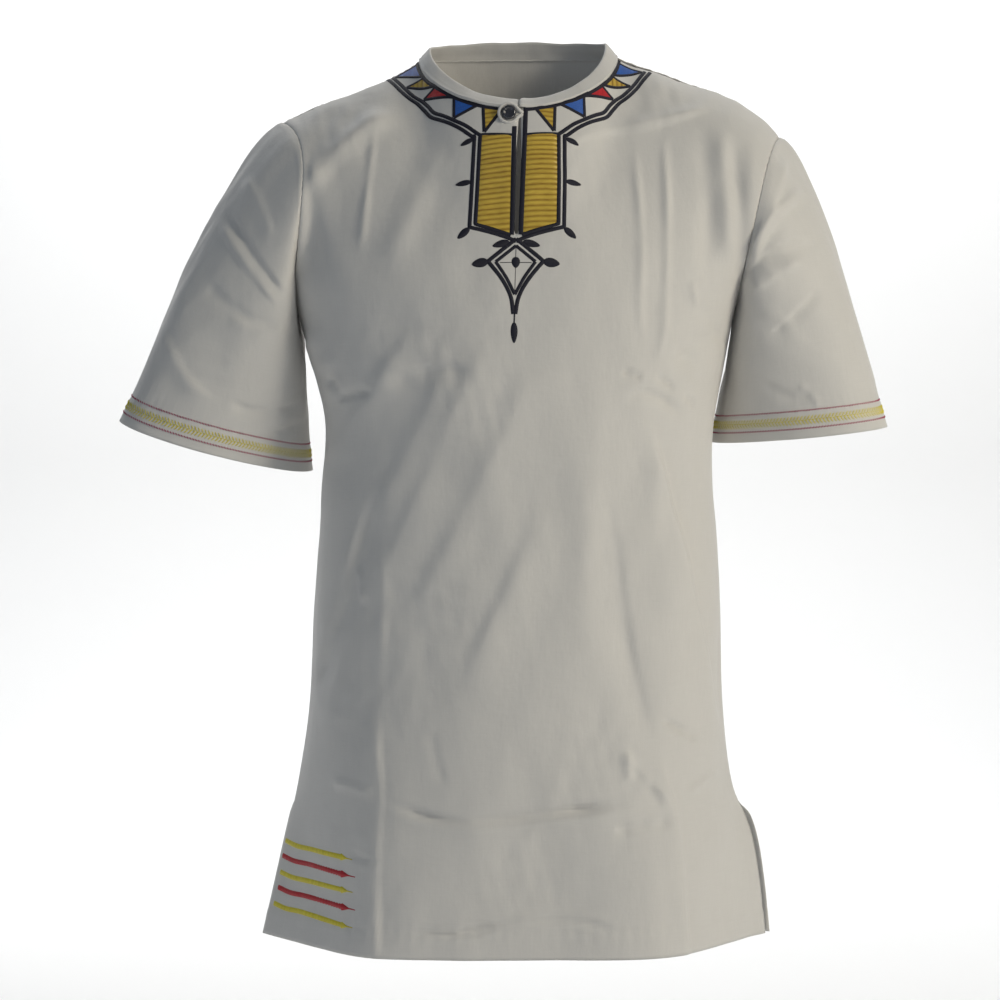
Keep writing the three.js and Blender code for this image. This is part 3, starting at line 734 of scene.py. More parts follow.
cotton = cottonMaterial("beige cotton")
bandCotton = cottonMaterial("beige cotton band", tint=0.97)
finishes = {
    "thread_black": threadMaterial("black thread", (0.003, 0.003, 0.008), (0.010, 0.010, 0.024),
                                   roughness=0.6, sheen=0.0),
    # The gold's tone repeats at the bars' row pitch of 4.45 mm, so on the bars its painted shade lies in the
    # grooves between the rows.
    "thread_gold": threadMaterial("gold thread", (0.25, 0.135, 0.014), (0.60, 0.42, 0.065),
                                  pitch=0.00445, roughness=0.34, deep=0.0006),
    "thread_blue": threadMaterial("blue thread", (0.012, 0.045, 0.25), (0.022, 0.13, 0.50)),
    "thread_red": threadMaterial("red thread", (0.28, 0.006, 0.012), (0.56, 0.016, 0.024)),
    "thread_yellow": threadMaterial("yellow thread", (0.46, 0.38, 0.015), (0.80, 0.70, 0.05)),
    "thread_crimson": threadMaterial("crimson thread", (0.22, 0.025, 0.06), (0.40, 0.05, 0.11)),
    "cotton": cotton,
}
print("materials are made")

panelGrid = {
    "across": 180, "lowRows": 170, "highRows": 92,  # columns, and rows below and above the underarm
    "thick": 0.9, "hemThick": 1.7, "hemDeep": 23, "hemLift": 0.5, "hemGroove": 0.55,
    "puckers": 0.25, "puckerRate": 0.55, "puckerReach": 9,
    "ventDeep": 14, "ventLift": 0.3, "ventGroove": 0.4, "ventSoft": 12,
    "step": 1.5, "groove": 1.1,  # how soft a step in thickness is, and how wide a stitched groove
}
# Where the plain form is evened out: across near the top, and up and down at the underarm.
evening = {
    "side": 0.12, "top": 0.22, "from": 0.9, "over": 0.3, "topPasses": 60, "reach": 55, "armPasses": 120,
}
panelRumples = {
    "plain": [(1.5, 120, 2.4), (0.5, 46, 1.8)], "fine": (0.24, 17, 1.5), "patches": (0.6, 150, 1.2, 0.35),
}
calmNeck = {"front": (3, -60, -30), "back": (3, 50, -30), "least": 0.4, "from": 80, "over": 40, "side": 0.08}
slit = {
    "bottom": -183, "top": -66, "half": 3.3, "foot": 0.3, "footX": 0.4, "topX": 4, "beside": 0.12,
    "lead": 60, "leadOpen": 7, "swell": (0.55, 0.8),
}
seams = {
    "deep": 1.3, "wide": 2.6, "pucker": 0.35, "rates": (0.9, 0.23), "axisTop": -120, "sidePull": 0.45,
    "topFrom": -230, "topOver": 30,  # the seam along the upper edge begins above the underarm
}


# Every seam is pressed in the same direction from either side, towards a line up the body's middle.
def inwardAt(points):
    x, y, z = (points[..., k] for k in range(3))
    return unit(np.stack([-seams["sidePull"] * x, -y, np.minimum(z, seams["axisTop"]) - z], -1))


# A seam: a trough as deep as a bell of the distance from it, puckered along its length.
def seamPress(points, away):
    along = points[..., 2] + points[..., 0] + points[..., 1]
    quick, slow = seams["rates"]
    pucker = 1 + seams["pucker"] * np.sin(along * quick) * np.sin(along * slow + 1)
    deep = seams["deep"] * bell(away, seams["wide"]) * pucker
    return inwardAt(points) * deep[..., None]


# Evens out a grid along one of its directions, as strongly as the weights say.
def soften(grid, weights, axis, passes):
    for _ in range(passes):
        ahead, behind = np.roll(grid, -1, axis), np.roll(grid, 1, axis)
        grid = mix(grid, (ahead + 2 * grid + behind) / 4, weights[..., None])
    return grid


# The slit: its two edges stand apart, and the columns beside them give way.
def openSlit(base, u, us):
    middle = panelGrid["across"] // 2
    height = base[:, middle, 2][:, None]
    share = np.clip((height - slit["bottom"]) / (slit["top"] - slit["bottom"]), 0, 1)
    early, blunt = slit["swell"]
    gap = mix(slit["foot"], slit["half"], np.sin(np.pi * share**early) ** blunt)
    left, right = base[:, middle - 1, 0][:, None], base[:, middle, 0][:, None]
    near = smooth((slit["beside"] - np.abs(u)) / (slit["beside"] - us[middle]))
    here = near * smooth((height - slit["bottom"] + slit["lead"]) / slit["lead"])
    base[..., 0] += here * (mix(slit["footX"], slit["topX"], share) - (left + right) / 2)
    opened = near * smooth((height - slit["bottom"] + slit["leadOpen"]) / slit["leadOpen"])
    base[..., 0] += opened * sideOf(u) * (gap - (right - left) / 2)


# How far the folds and rumples stand out: less near the neck, and nothing at the side edges.
def panelLift(face, base, u, folds, seed):
    seen = base[..., [0, 2]]
    lift = foldHeight(seen, folds, seed) + rumpled(seen, panelRumples, seed)
    fromNeck = np.linalg.norm(base - np.array(calmNeck[face]), axis=-1)
    calm = mix(calmNeck["least"], 1, smooth((fromNeck - calmNeck["from"]) / calmNeck["over"]))
    return lift * smooth((1 - np.abs(u)) / calmNeck["side"]) * calm


# A panel with its folds: the plain form, moved out along its normals by every fold and rumple, and
# in along its seams, with a step and a groove where the hem and the vents' edges are turned in.
def panelCloth(face, folds, seed):
    size = panelGrid
    us = np.linspace(-1, 1, size["across"])
    low = np.linspace(0, 1, size["lowRows"], endpoint=False)
    vs = np.concatenate([low, np.linspace(1, 2, size["highRows"])])
    u, v = np.meshgrid(us, vs)
    base = panelPoint(face, u, v)
    inside = smooth((1 - np.abs(u)) / evening["side"])
    nearTop = smooth((2 - v) / evening["top"]) * smooth((v - evening["from"]) / evening["over"])
    base = soften(base, nearTop * inside, 1, evening["topPasses"])
    nearArm = bell(base[..., 2] - shirt["underarmZ"], evening["reach"])
    base = soften(base, nearArm * inside, 0, evening["armPasses"])
    if face == "front":
        openSlit(base, u, us)
    outward = gridNormals(base) * (1 if face == "front" else -1)
    grid = base + outward * panelLift(face, base, u, folds, seed)[..., None]

    lengths = clothLengths(base)
    fromHem = lengths[..., 1]
    turnedUp = smooth((size["hemDeep"] - fromHem) / size["step"])
    along = base[..., 0]
    puckers = size["puckers"] * np.sin(along * size["puckerRate"] + 2 * np.sin(along * 0.05))
    lift = size["hemLift"] * turnedUp - size["hemGroove"] * bell(fromHem - size["hemDeep"], size["groove"])
    lift += puckers * bell(fromHem - size["hemDeep"], size["puckerReach"])
    fromSide = np.minimum(np.abs(lengths[..., 0] - lengths[:, :1, 0]),
                          np.abs(lengths[:, -1:, 0] - lengths[..., 0]))
    vented = smooth((shirt["ventTop"] - base[..., 2]) / size["ventSoft"])
    turnedIn = size["ventLift"] * smooth((size["ventDeep"] - fromSide) / size["step"])
    lift += vented * (turnedIn - size["ventGroove"] * bell(fromSide - size["ventDeep"], size["groove"]))
    grid += outward * lift[..., None]
    fromTop = lengths[-1:, :, 1] - lengths[..., 1]
    grid += seamPress(base, fromTop) * smooth((base[..., 2:] - seams["topFrom"]) / seams["topOver"])
    grid += seamPress(base, fromSide) * (1 - vented)[..., None]
    thick = mix(size["thick"], size["hemThick"], turnedUp)
    return {"u": us, "v": vs, "grid": grid, "thick": thick, "base": base, "lengths": lengths}


# The front's slit is left open down to its foot, and the back's grid is turned round to face out.
def addPanel(face, cloth):
    grid, thick = cloth["grid"], cloth["thick"]
    keep = np.ones((grid.shape[0] - 1, grid.shape[1] - 1), bool)
    if face == "front":
        middle = panelGrid["across"] // 2
        keep[:, middle - 1] = cloth["base"][:-1, middle, 2] < slit["bottom"]
    else:
        grid, thick = grid[:, ::-1], thick[:, ::-1]
    piece = clothPiece(face, grid, thick, cotton, keep=keep)
    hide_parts(face + "_panel")
    return piece


front = panelCloth("front", frontFolds, 11)
back = panelCloth("back", backFolds, 47)
frontPiece = addPanel("front", front)
backPiece = addPanel("back", back)
print("front and back are made")

sleeveRumples = {
    "plain": [(1.1, 90, 1.4), (0.35, 34, 1.4)], "fine": (0.13, 14, 1.3), "patches": (0.6, 120, 1, 0.4),
}
sleeveGrid = {
    "around": 176, "rows": 100, "thick": 0.9,
    "hemThick": 1.7, "hemDeep": 25, "hemLift": 0.35, "hemGroove": 0.4,
    "step": 1.5, "groove": 1.1, "frontSoft": 2.2, "topFade": 0.06,
    "puckers": 0.22, "puckerCount": 58, "puckerPlace": 24, "puckerReach": 14,
    "underDeep": 0.8, "underWide": 2.2, "girth": 400,
}


# A sleeve with its folds: those of the front are laid as seen from in front, those of the back from
# behind, and both fade towards the sleeve's top and underarm. The cuff is turned up as the hem is.
def sleeveCloth(sleeve, folds, seed):
    size, side = sleeveGrid, sleeve["side"]
    turns = np.arange(size["around"]) / size["around"]
    turn, t = np.meshgrid(turns, np.linspace(0, 1, size["rows"]))
    base = sleevePoint(sleeve, turn, t)
    outward = gridNormals(base, wrap=True) * -side
    seen = base[..., [0, 2]]
    forward = np.sin(turn * 2 * np.pi) * size["frontSoft"]
    behind = [(h, a, b, [(side * x, z) for x, z in points]) for h, a, b, points in sleeveBackFolds]
    lift = foldHeight(seen, folds, seed) * smooth(forward)
    lift += foldHeight(seen, behind, seed + 5) * smooth(-forward)
    around = np.stack([base[..., 1] * 1.6, base[..., 2] + side * base[..., 0] * 0.4], -1)  # nearly flat
    lift += rumpled(around, sleeveRumples, seed)
    grid = base + outward * (lift * smooth(t / size["topFade"]))[..., None]

    lengths = clothLengths(base, wrap=True)[:, :-1]
    fromCuff = lengths[-1:, :, 1] - lengths[..., 1]
    turnedUp = smooth((size["hemDeep"] - fromCuff) / size["step"])
    lift = size["hemLift"] * turnedUp - size["hemGroove"] * bell(fromCuff - size["hemDeep"], size["groove"])
    wave = np.sin(turn * 2 * np.pi * size["puckerCount"] + 3 * np.sin(turn * 12))
    lift = lift + size["puckers"] * wave * bell(fromCuff - size["puckerPlace"], size["puckerReach"])
    grid = grid + outward * lift[..., None]
    grid = grid + seamPress(base, lengths[..., 1])
    under = np.minimum(turn, 1 - turn) * size["girth"]  # the sleeve's own seam runs along its underside
    grid = grid - outward * (size["underDeep"] * bell(under, size["underWide"]))[..., None]
    thick = mix(size["thick"], size["hemThick"], turnedUp)
    return {"grid": grid, "thick": thick, "fromCuff": fromCuff, "side": side}


# A sleeve's grid is turned so that it faces out, on either side.
def addSleeve(name, cloth):
    grid, thick = cloth["grid"], cloth["thick"]
    if cloth["side"] > 0:
        grid, thick = grid[::-1], thick[::-1]
    else:
        grid, thick = grid[::-1, ::-1], thick[::-1, ::-1]
    piece = clothPiece(name + "_cloth", grid, thick, cotton, wrap=True)
    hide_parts(name)
    return piece


rightCloth = sleeveCloth(sleeveRight, sleeveRightFolds, 101)
leftCloth = sleeveCloth(sleeveLeft, sleeveLeftFolds, 202)
rightPiece = addSleeve("sleeve_right", rightCloth)
leftPiece = addSleeve("sleeve_left", leftCloth)
print("sleeves are made")

neckband = {
    "height": 15.5, "frontHeight": 11.5, "thick": 2.4, "gap": 0.0006, "corner": 5, "along": 260,
    "lap": 0.9, "lapLong": 12, "lean": (0.68, 0.95, 0.35, 0.74, 0.15), "stitchAt": 1.6, "stitchWide": 0.8,
    # round the strip's section: how far up it is, a share of its height, and how far out, of its thickness
    "up": [(0, -0.9), (0.02, -0.6), (0.44, 0.93), (0.47, 0.985), (0.5, 1), (0.53, 0.985), (0.56, 0.93),
           (0.98, -2), (1, -2.2)],
    "out": [(0, 0.1), (0.02, 0.5), (0.42, 0.5), (0.47, 0.36), (0.5, 0), (0.53, -0.36), (0.58, -0.5),
            (0.98, -0.5), (1, -0.1)],
}


# Length along a path at each of its points.
def runAlong(path):
    return np.concatenate([[0], np.cumsum(np.linalg.norm(np.diff(path, axis=0), axis=1))])


# Values given at places along a run, read at others.
def readAlong(at, run, values):
    return np.stack([np.interp(at, run, values[:, k]) for k in range(values.shape[1])], -1)


# The neck seam with the band's upward and outward directions. share runs from the wearer's left end
# in front, round the back, to the right end.
def bandFrame(share):
    turn = mix(neckband["gap"], 1 - neckband["gap"], share) * 2 * np.pi
    side = np.where(turn < np.pi, 1.0, -1.0)
    u = side * np.arcsin(np.clip(np.abs(np.sin(turn)), 0, 0.99999)) / (np.pi / 2) * shirt["neckShare"]
    isFront = (np.cos(turn) > 0)[:, None]
    foot = np.where(isFront, topPoint("front", u), topPoint("back", u))
    ahead, behind = np.maximum(0, np.cos(turn)), np.maximum(0, -np.cos(turn))
    leanSide, leanFront, leanBack, upright, uprightBack = neckband["lean"]
    lean = unit(np.stack([-leanSide * np.sin(turn), leanFront * ahead**1.5 - leanBack * behind,
                          upright + uprightBack * behind], -1))
    out = unit(np.cross(unit(np.gradient(foot, axis=0)), lean))
    away = (foot - np.array([shirt["neckShift"], 0, 0])) * (1, 1, 0)
    out *= np.sign((out * away).sum(-1))[:, None]
    return foot, lean, out, ahead


# The neckband: a flat strip with a rounded upper edge, carried along the neck seam and leaning in
# with it, lower in front, with rounded corners at its ends and a row of stitches at its foot.
def addNeckband():
    size = neckband
    share = np.linspace(0, 1, size["along"])
    foot, lean, out, ahead = bandFrame(share)
    run = runAlong(foot)

    def cornerDrop(fromEnd):
        inward = np.clip(size["corner"] - fromEnd, 0, size["corner"])
        return size["corner"] - np.sqrt(np.maximum(size["corner"] ** 2 - inward**2, 0))

    uneven = 0.5 * rumple(np.stack([run, 0 * run], -1), 60, 1, 5)
    high = mix(size["height"], size["frontHeight"], ahead**0.7) + uneven
    high = high - cornerDrop(run) * 0.9 - cornerDrop(run[-1] - run) * 0.3
    turn = np.linspace(0, 1, 29)
    up, thick = (np.interp(turn, *zip(*size[name])) for name in ("up", "out"))
    rise = np.where(up[None, :] < 0, up[None, :], up[None, :] * high[:, None])
    stitch = bell(rise - size["stitchAt"], size["stitchWide"]) * 0.35
    soft = 0.25 * rumple(np.stack([run[:, None] + 0 * rise, rise], -1), 22, 1, 6)
    lapOut = size["lap"] * smooth((size["lapLong"] - run) / size["lapLong"])[:, None]
    reach = thick[None, :] * size["thick"] + lapOut + soft - np.sign(thick)[None, :] * stitch
    grid = foot[:, None] + lean[:, None] * rise[..., None] + out[:, None] * reach[..., None]
    rows, cols = grid.shape[:2]
    ids = np.arange(rows * cols).reshape(rows, cols)
    half = cols // 2
    caps = []
    for row, flip in ((0, False), (rows - 1, True)):  # each end is closed between its two faces
        outer, rear = ids[row, :half], ids[row, ::-1][:half]
        cap = np.stack([outer[:-1], outer[1:], rear[1:], rear[:-1]], -1)
        caps.append(cap[:, ::-1] if flip else cap)
    faces = np.concatenate([gridFaces(rows, cols, wrap=True)[:, [0, 3, 2, 1]], *caps])
    inner = 40 * (thick < 0)[None, :]  # the inner face lies beside the outer one on the flat cloth
    uv = np.stack([np.broadcast_to(run[:, None], rise.shape), rise + inner], -1).reshape(-1, 2)
    piece = makeMesh("neckband_cloth", grid.reshape(-1, 3), faces, bandCotton, uv)
    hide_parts("neckband")
    return piece


bandPiece = addNeckband()
print("neckband is made")

# The ornament is laid out on a plane that leans back at the neck, x across and q up along it, and
# carried to the cloth. The neckline is nearly a circle on that plane.
layout = {"lean": math.radians(40), "centre": (3, -5.5), "radius": 91.5}


# Places of points on the leaning plane, and on an upright one.
def leanPlace(points):
    up = points[..., 2] * math.cos(layout["lean"]) + points[..., 1] * math.sin(layout["lean"])
    return np.stack([points[..., 0], up], -1)


def plainPlace(points):
    return points[..., [0, 2]]


# Reads one of the front's grids at u and v.
def readFront(grid, u, v):
    col = np.interp(u, front["u"], np.arange(len(front["u"])))
    row = np.interp(v, front["v"], np.arange(len(front["v"])))
    return sample(grid, row, col)


finder = {"every": 6, "small": 1e-4, "steps": 24, "longest": 0.05, "inside": 0.4}


# Finds u and v of places on a flat layout: starts at the nearest of some of the front's nodes and
# steps down the slope of the misfit.
def findOnFront(places, flatten):
    every, small, longest = (finder[name] for name in ("every", "small", "longest"))
    some = flatten(front["base"][::every, ::every])
    nodes = some.reshape(-1, 2)
    nearest = ((nodes**2).sum(1) - 2 * places @ nodes.T).argmin(1)
    u = front["u"][::every][nearest % some.shape[1]]
    v = front["v"][::every][nearest // some.shape[1]]
    for _ in range(finder["steps"]):
        here = flatten(readFront(front["base"], u, v))
        byU = (flatten(readFront(front["base"], u + small, v)) - here) / small
        byV = (here - flatten(readFront(front["base"], u, v - small))) / small
        miss = places - here
        det = byU[:, 0] * byV[:, 1] - byU[:, 1] * byV[:, 0]
        det = np.where(np.abs(det) < 1, 1, det)
        du = (miss[:, 0] * byV[:, 1] - miss[:, 1] * byV[:, 0]) / det
        dv = (byU[:, 0] * miss[:, 1] - byU[:, 1] * miss[:, 0]) / det
        u = np.clip(u + np.clip(du, -longest, longest), -1, 0.9998)
        v = np.clip(v + np.clip(dv, -longest, longest), 0.002, 2)
    return u, v


frontNormals = gridNormals(front["grid"])


# Points and outward normals of the finished front at places on a flat layout.
def onFront(flatten, places):
    places = np.asarray(places, float)
    u, v = findOnFront(places.reshape(-1, 2), flatten)
    shape = (*places.shape[:-1], 3)
    return readFront(front["grid"], u, v).reshape(shape), unit(readFront(frontNormals, u, v)).reshape(shape)


onNeck, onFrontPlain = partial(onFront, leanPlace), partial(onFront, plainPlace)


# The part of a path that lies on the front, short of the shoulder seam.
def withinNeck(path):
    u, v = findOnFront(path, leanPlace)
    found = leanPlace(readFront(front["base"], u, v))
    return path[np.hypot(*(found - path).T) < finder["inside"]]


# Gathers grids of thread into one piece, all with their faces turned out.
class Threads:
    def __init__(self):
        self.points, self.faces, self.uv, self.count = [], [], [], 0

    def add(self, grid, normal, uv):
        rows, cols = grid.shape[:2]
        faces = gridFaces(rows, cols, self.count)
        across = grid[:-1, 1:] - grid[:-1, :-1]
        up = grid[1:, :-1] - grid[:-1, :-1]
        if (np.cross(across, up) * normal[:-1, :-1]).sum() < 0:
            faces = faces[:, ::-1]
        self.points.append(grid.reshape(-1, 3))
        self.uv.append(uv.reshape(-1, 2))
        self.faces.append(faces)
        self.count += rows * cols

    def finish(self, name, slot):
        points, faces, uv = (np.concatenate(part) for part in (self.points, self.faces, self.uv))
        return makeMesh(name, points, faces, finishes[slot], uv)


ribbonShape = np.array([(-1, -0.35), (-0.72, 0.62), (0, 1), (0.72, 0.62), (1, -0.35)])  # a low dome


# The same path with its points a pitch apart.
def evenly(points, pitch):
    run = runAlong(points)
    at = np.linspace(0, run[-1], max(3, int(run[-1] / pitch) + 1))
    return readAlong(at, run, points), at


# A ribbon of satin stitch: a low dome carried along a path on the cloth, lower where it is narrow.
# Its width is a number or a function of the share of its length. Long ones stop at the shoulder.
def ribbon(threads, path, place, wide=3.0, high=0.5, pitch=1.0):
    path, at = evenly(np.array(path, float), pitch)
    if place is onNeck and len(path) > 30:
        path = withinNeck(path)
        path, at = evenly(path, pitch)
    points, normals = place(path)
    along = unit(np.gradient(points, axis=0))
    across = unit(np.cross(along, normals))
    width = np.broadcast_to(wide(at / at[-1]) if callable(wide) else wide, at.shape)
    rise = high * np.minimum(1, width / 2.2)
    sideways = ribbonShape[:, 0] * width[:, None] / 2
    grid = (points[:, None] + across[:, None] * sideways[..., None]
            + normals[:, None] * (ribbonShape[:, 1] * rise[:, None])[..., None])
    uv = np.stack(np.broadcast_arrays(sideways, at[:, None]), -1)
    threads.add(grid, np.repeat(normals[:, None], len(ribbonShape), 1), uv)


# A leaf of satin stitch, pointed where it starts and round where it ends.
def drop(threads, start, angle, length, wide):
    steps = 22
    way = np.array([math.cos(math.radians(angle)), math.sin(math.radians(angle))])
    path = np.array(start) + way * np.linspace(0, length, steps)[:, None]

    def leafWidth(s):
        return 1.1 * wide * np.sin(np.pi * s**0.8) ** 0.6 + 0.05

    ribbon(threads, path, onNeck, leafWidth, 0.62, length / steps)


# A filled shape between two edges: mixed from one to the other, and a little domed. Its threads lie
# level, or upright where it is turned, or climb by the slope.
def filled(threads, first, second, high, rows, turned=False, ribs=None, slope=0.0):
    s = np.linspace(0, 1, rows)
    flat = mix(np.asarray(first, float)[None], np.asarray(second, float)[None], s[:, None, None])
    points, normals = onNeck(flat)
    rise = high * smooth(np.minimum(s, s[::-1]) / 0.12)[:, None] + 0 * flat[..., 0]
    if ribs is not None:
        rise = rise * ribs(flat)
    uv = flat[..., ::-1] if turned else np.stack([flat[..., 0], flat[..., 1] - slope * flat[..., 0]], -1)
    threads.add(points + normals * rise[..., None], normals, uv)


# A place on the leaning plane at an angle from the ornament's middle, in degrees, and away from the
# circle of the neckline.
def polar(angle, away):
    angle = np.radians(np.asarray(angle, float))
    reach = layout["radius"] + np.asarray(away, float)
    x, q = layout["centre"]
    return np.stack([x + reach * np.sin(angle), q - reach * np.cos(angle)], -1)


neckEdge = leanPlace(front["base"][-1]) - layout["centre"]
neckEdge = neckEdge[(np.abs(front["u"]) <= shirt["neckShare"]) & (neckEdge[:, 1] < 12)]


# The same, away from the neck seam itself.
def besideSeam(angle, away):
    turns = np.degrees(np.arctan2(neckEdge[:, 0], -neckEdge[:, 1]))
    reach = np.interp(angle, turns, np.hypot(*neckEdge.T))
    return polar(angle, reach - layout["radius"] + away)


# Yoke: five coloured triangles on either side of the slit, from the slit to the shoulder. Each is
# its base's two angles along the neck seam, its tip's angle and its tip's distance from the seam.
yoke = {
    "triangles": [
        ("thread_gold", 9, 20, 15.2, 28), ("thread_blue", 23, 39, 32, 19.5),
        ("thread_red", 41, 58, 55.5, 13.5), ("thread_gold", 59.5, 72, 70, 18),
        ("thread_blue", 74, 88, 82, 24),
    ],
    # the outlines below the triangles: angles, and distances from the neckline's circle
    "inner": [(17.2, 31), (24.5, 24.5), (32, 21.5), (38, 20), (44, 19.5), (50, 16.5), (56, 15.5),
              (62, 17.5), (70, 20), (76, 22.5), (83, 26.5)],
    "outer": [(19.5, 34), (26, 28.3), (32.5, 25.2), (38, 24.2), (44, 23.6), (50, 20.8), (56, 19.6),
              (62, 21.6), (70, 24.5), (76, 27), (83.5, 31.5)],
    "line": 4.1, "lineHigh": 0.6, "thin": 3.7, "thinHigh": 0.55, "seam": 2.8, "seamLine": 4.8,
    "drift": 2.5, "driftFrom": 40,  # the bases nearer the shoulder lean towards the slit
    "high": 0.32, "rows": 18, "blunt": 0.985,
}
# Bars beside the slit: distances from the ornament's leaning middle line, at the top and the foot.
bars = {
    "topIn": 7.0, "topOut": 34, "footIn": 5.6, "footOut": 35.6, "topInQ": -127, "topOutQ": -123.5,
    "footInQ": -212.6, "footOutQ": -202.4,
    "row": 4.45, "slope": {-1: 0.02, 1: 0.1}, "high": 0.75, "steps": 420,  # the rows of stitches
    "slitLine": 4.7, "slitLineTop": {-1: -118, 1: -97}, "slitLineIn": {-1: 2.5, 1: 1.9},
    "topLine": 2.8, "topLineHigh": 0.95,
    # drops out from the outlines: place, angle, length and width
    "drops": [((41.5, -126), -18, 12, 5.4), ((42, -165.7), 2, 14, 5.6), ((42, -206), -38, 13, 6.4),
              ((6, -219.5), -12, 15.5, 6.6), ((24.5, -234.6), -6, 14.5, 8.6)],
}
kite = {
    "outer": [(0, -217.5), (24.5, -234.5), (11.5, -249), (3.6, -262), (0.9, -275)],
    "inner": [(0, -223), (17.6, -235.2), (8, -247.5), (0, -260.5)], "innerLine": 3.4, "innerHigh": 0.55,
    "dot": -236, "dotWide": 8.6, "dotShare": 0.94,
}


# The ornament's middle line leans a little over its height.
def middleAt(q):
    return 3.2 + (q + 125) * 0.031


def beside(side, points):
    points = np.array(points, float)
    return np.stack([middleAt(points[:, 1]) + side * points[:, 0], points[:, 1]], -1)


# The bars' stitches lie in rows, each a low ridge, which rise a little to the wearer's left.
def rowRibs(side, flat):
    row = (flat[..., 1] - bars["slope"][side] * flat[..., 0]) / bars["row"]
    return 0.25 + 0.75 * np.abs(np.sin(np.pi * row)) ** 0.6


black, gold, blue, red = Threads(), Threads(), Threads(), Threads()
fills = {"thread_gold": gold, "thread_blue": blue, "thread_red": red}


# Coloured triangles, each with a black line down either side, and the line along the neck seam.
def addTriangles(side):
    for slotName, near, far, tipAngle, tipAway in yoke["triangles"]:
        turned = near > yoke["driftFrom"]
        drift = yoke["drift"] if turned else 0
        base = besideSeam(side * np.linspace(near - drift, far - drift, 14), yoke["seam"])
        tip = polar([side * tipAngle] * 14, [tipAway] * 14)
        short = mix(base, tip, yoke["blunt"])
        filled(fills[slotName], base, short, yoke["high"], yoke["rows"], turned)
        for corner in (base[0], base[-1]):
            ribbon(black, [corner, tip[0]], onNeck, yoke["thin"], yoke["thinHigh"])
    seam = besideSeam(side * np.linspace(3, 89, 80), yoke["seam"])
    ribbon(black, seam, onNeck, yoke["seamLine"], yoke["lineHigh"])


# The two outlines: round the neck, then down outside the bar and in below it.
def addOutlines(side):
    wide, top, foot = bars["topOut"], bars["topOutQ"], bars["footOutQ"]
    innerDown = [(wide + 1.2, top), (bars["footOut"] + 1.2, foot - 0.8), (19, -209.5),
                 (bars["footIn"] - 0.8, bars["footInQ"] - 1.5)]
    outerDown = [(wide + 6.4, top + 0.5), (bars["footOut"] + 6.2, foot - 3), (19, -212.5), (7, -216.5),
                 (0, -219.5)]
    for name, down in (("inner", innerDown), ("outer", outerDown)):
        line = pathThrough([(angle * side, away) for angle, away in yoke[name]], 6)[::-1]
        path = np.concatenate([polar(line[:, 0], line[:, 1]), beside(side, down)])
        ribbon(black, path, onNeck, yoke["line"], yoke["lineHigh"])


# A gold bar, with its edge along the slit and its top edge in black.
def addBar(side):
    nearSlit, topX = bars["topIn"] - bars["slitLineIn"][side], bars["topIn"]
    edge = [(nearSlit, bars["slitLineTop"][side]), (nearSlit, bars["topInQ"]),
            (bars["footIn"] - 1.6, bars["footInQ"] - 1.5)]
    ribbon(black, beside(side, edge), onNeck, bars["slitLine"], yoke["lineHigh"])
    edge = [(bars["topOut"] + 1, bars["topOutQ"] + 0.6), (topX - 2, bars["topInQ"] + 0.6)]
    ribbon(black, beside(side, edge), onNeck, bars["topLine"], bars["topLineHigh"])
    down = np.linspace(0, 1, bars["steps"])
    inEdge, outEdge = (
        beside(side, np.stack([mix(bars["top" + k], bars["foot" + k], down),
                               mix(bars[f"top{k}Q"], bars[f"foot{k}Q"], down)], -1))
        for k in ("In", "Out"))
    filled(gold, inEdge, outEdge, bars["high"], 12, ribs=partial(rowRibs, side), slope=bars["slope"][side])
    for place, angle, length, wide in bars["drops"]:
        drop(black, beside(side, [place])[0], angle if side > 0 else 180 - angle, length, wide)


# Half of the kite: its two outlines and the thread across to its dot.
def addKite(side):
    for name, wide, high in (("outer", yoke["line"], yoke["lineHigh"]),
                             ("inner", kite["innerLine"], kite["innerHigh"])):
        ribbon(black, beside(side, pathThrough(kite[name][1:], 6)), onNeck, wide, high)
        ribbon(black, beside(side, kite[name][:2]), onNeck, wide, high)
    ribbon(black, beside(side, [(3.6, kite["dot"]), (14, kite["dot"])]), onNeck, 0.8, 0.35)


for side in (-1, 1):
    addTriangles(side)
    addOutlines(side)
    addBar(side)
    addKite(side)
dotTop = beside(1, [(0, kite["dot"] + kite["dotWide"] / 2)])[0]
drop(black, dotTop, -90, kite["dotWide"], kite["dotWide"] * kite["dotShare"])
ribbon(black, beside(1, [(0, -224), (0, -258)]), onNeck, 0.7, 0.35)  # the thread down the kite
ribbon(black, beside(1, [(0.3, -272), (0, -284)]), onNeck, 1.5, 0.5)  # the stalk of the lowest drop
drop(black, beside(1, [(0, -281)])[0], -90, 15.5, 6.2)
yokePieces = [black.finish("neck_outlines", "thread_black"), gold.finish("neck_gold", "thread_gold"),
              blue.finish("neck_blue", "thread_blue"), red.finish("neck_red", "thread_red")]
print("neck embroidery is made")

# Short bars at the hem's corner on the wearer's right, each with a pointed end.
hemBars = {
    # where each begins at the side edge, and its height there and at its tip
    "rows": [(-213, -738, -740, "thread_yellow"), (-216, -752, -755, "thread_red"),
             (-218, -767, -769, "thread_yellow"), (-220, -781, -784, "thread_red"),
             (-224, -796, -800, "thread_yellow")],
    "thick": 5.2, "high": 0.7, "pitch": 0.5, "end": -157,
    "teeth": 24, "teethFrom": 0.6,
    "headLong": 7, "headHigh": 0.75, "tail": {"thread_yellow": 3, "thread_red": 6},
    "head": [(0, 4.6), (0.12, 7.4), (0.5, 1.9), (0.62, 1.3), (1, 0.9)],  # its width along it
}


# A bar's width along it: even, and on the red ones jagged towards the tip.
def barWidth(jagged, s):
    saw = 0.35 + 0.65 * np.abs(((s * hemBars["teeth"]) % 1) - 0.5) * 2
    return hemBars["thick"] * np.where((s > hemBars["teethFrom"]) & jagged, 0.55 + 0.6 * saw, 1)


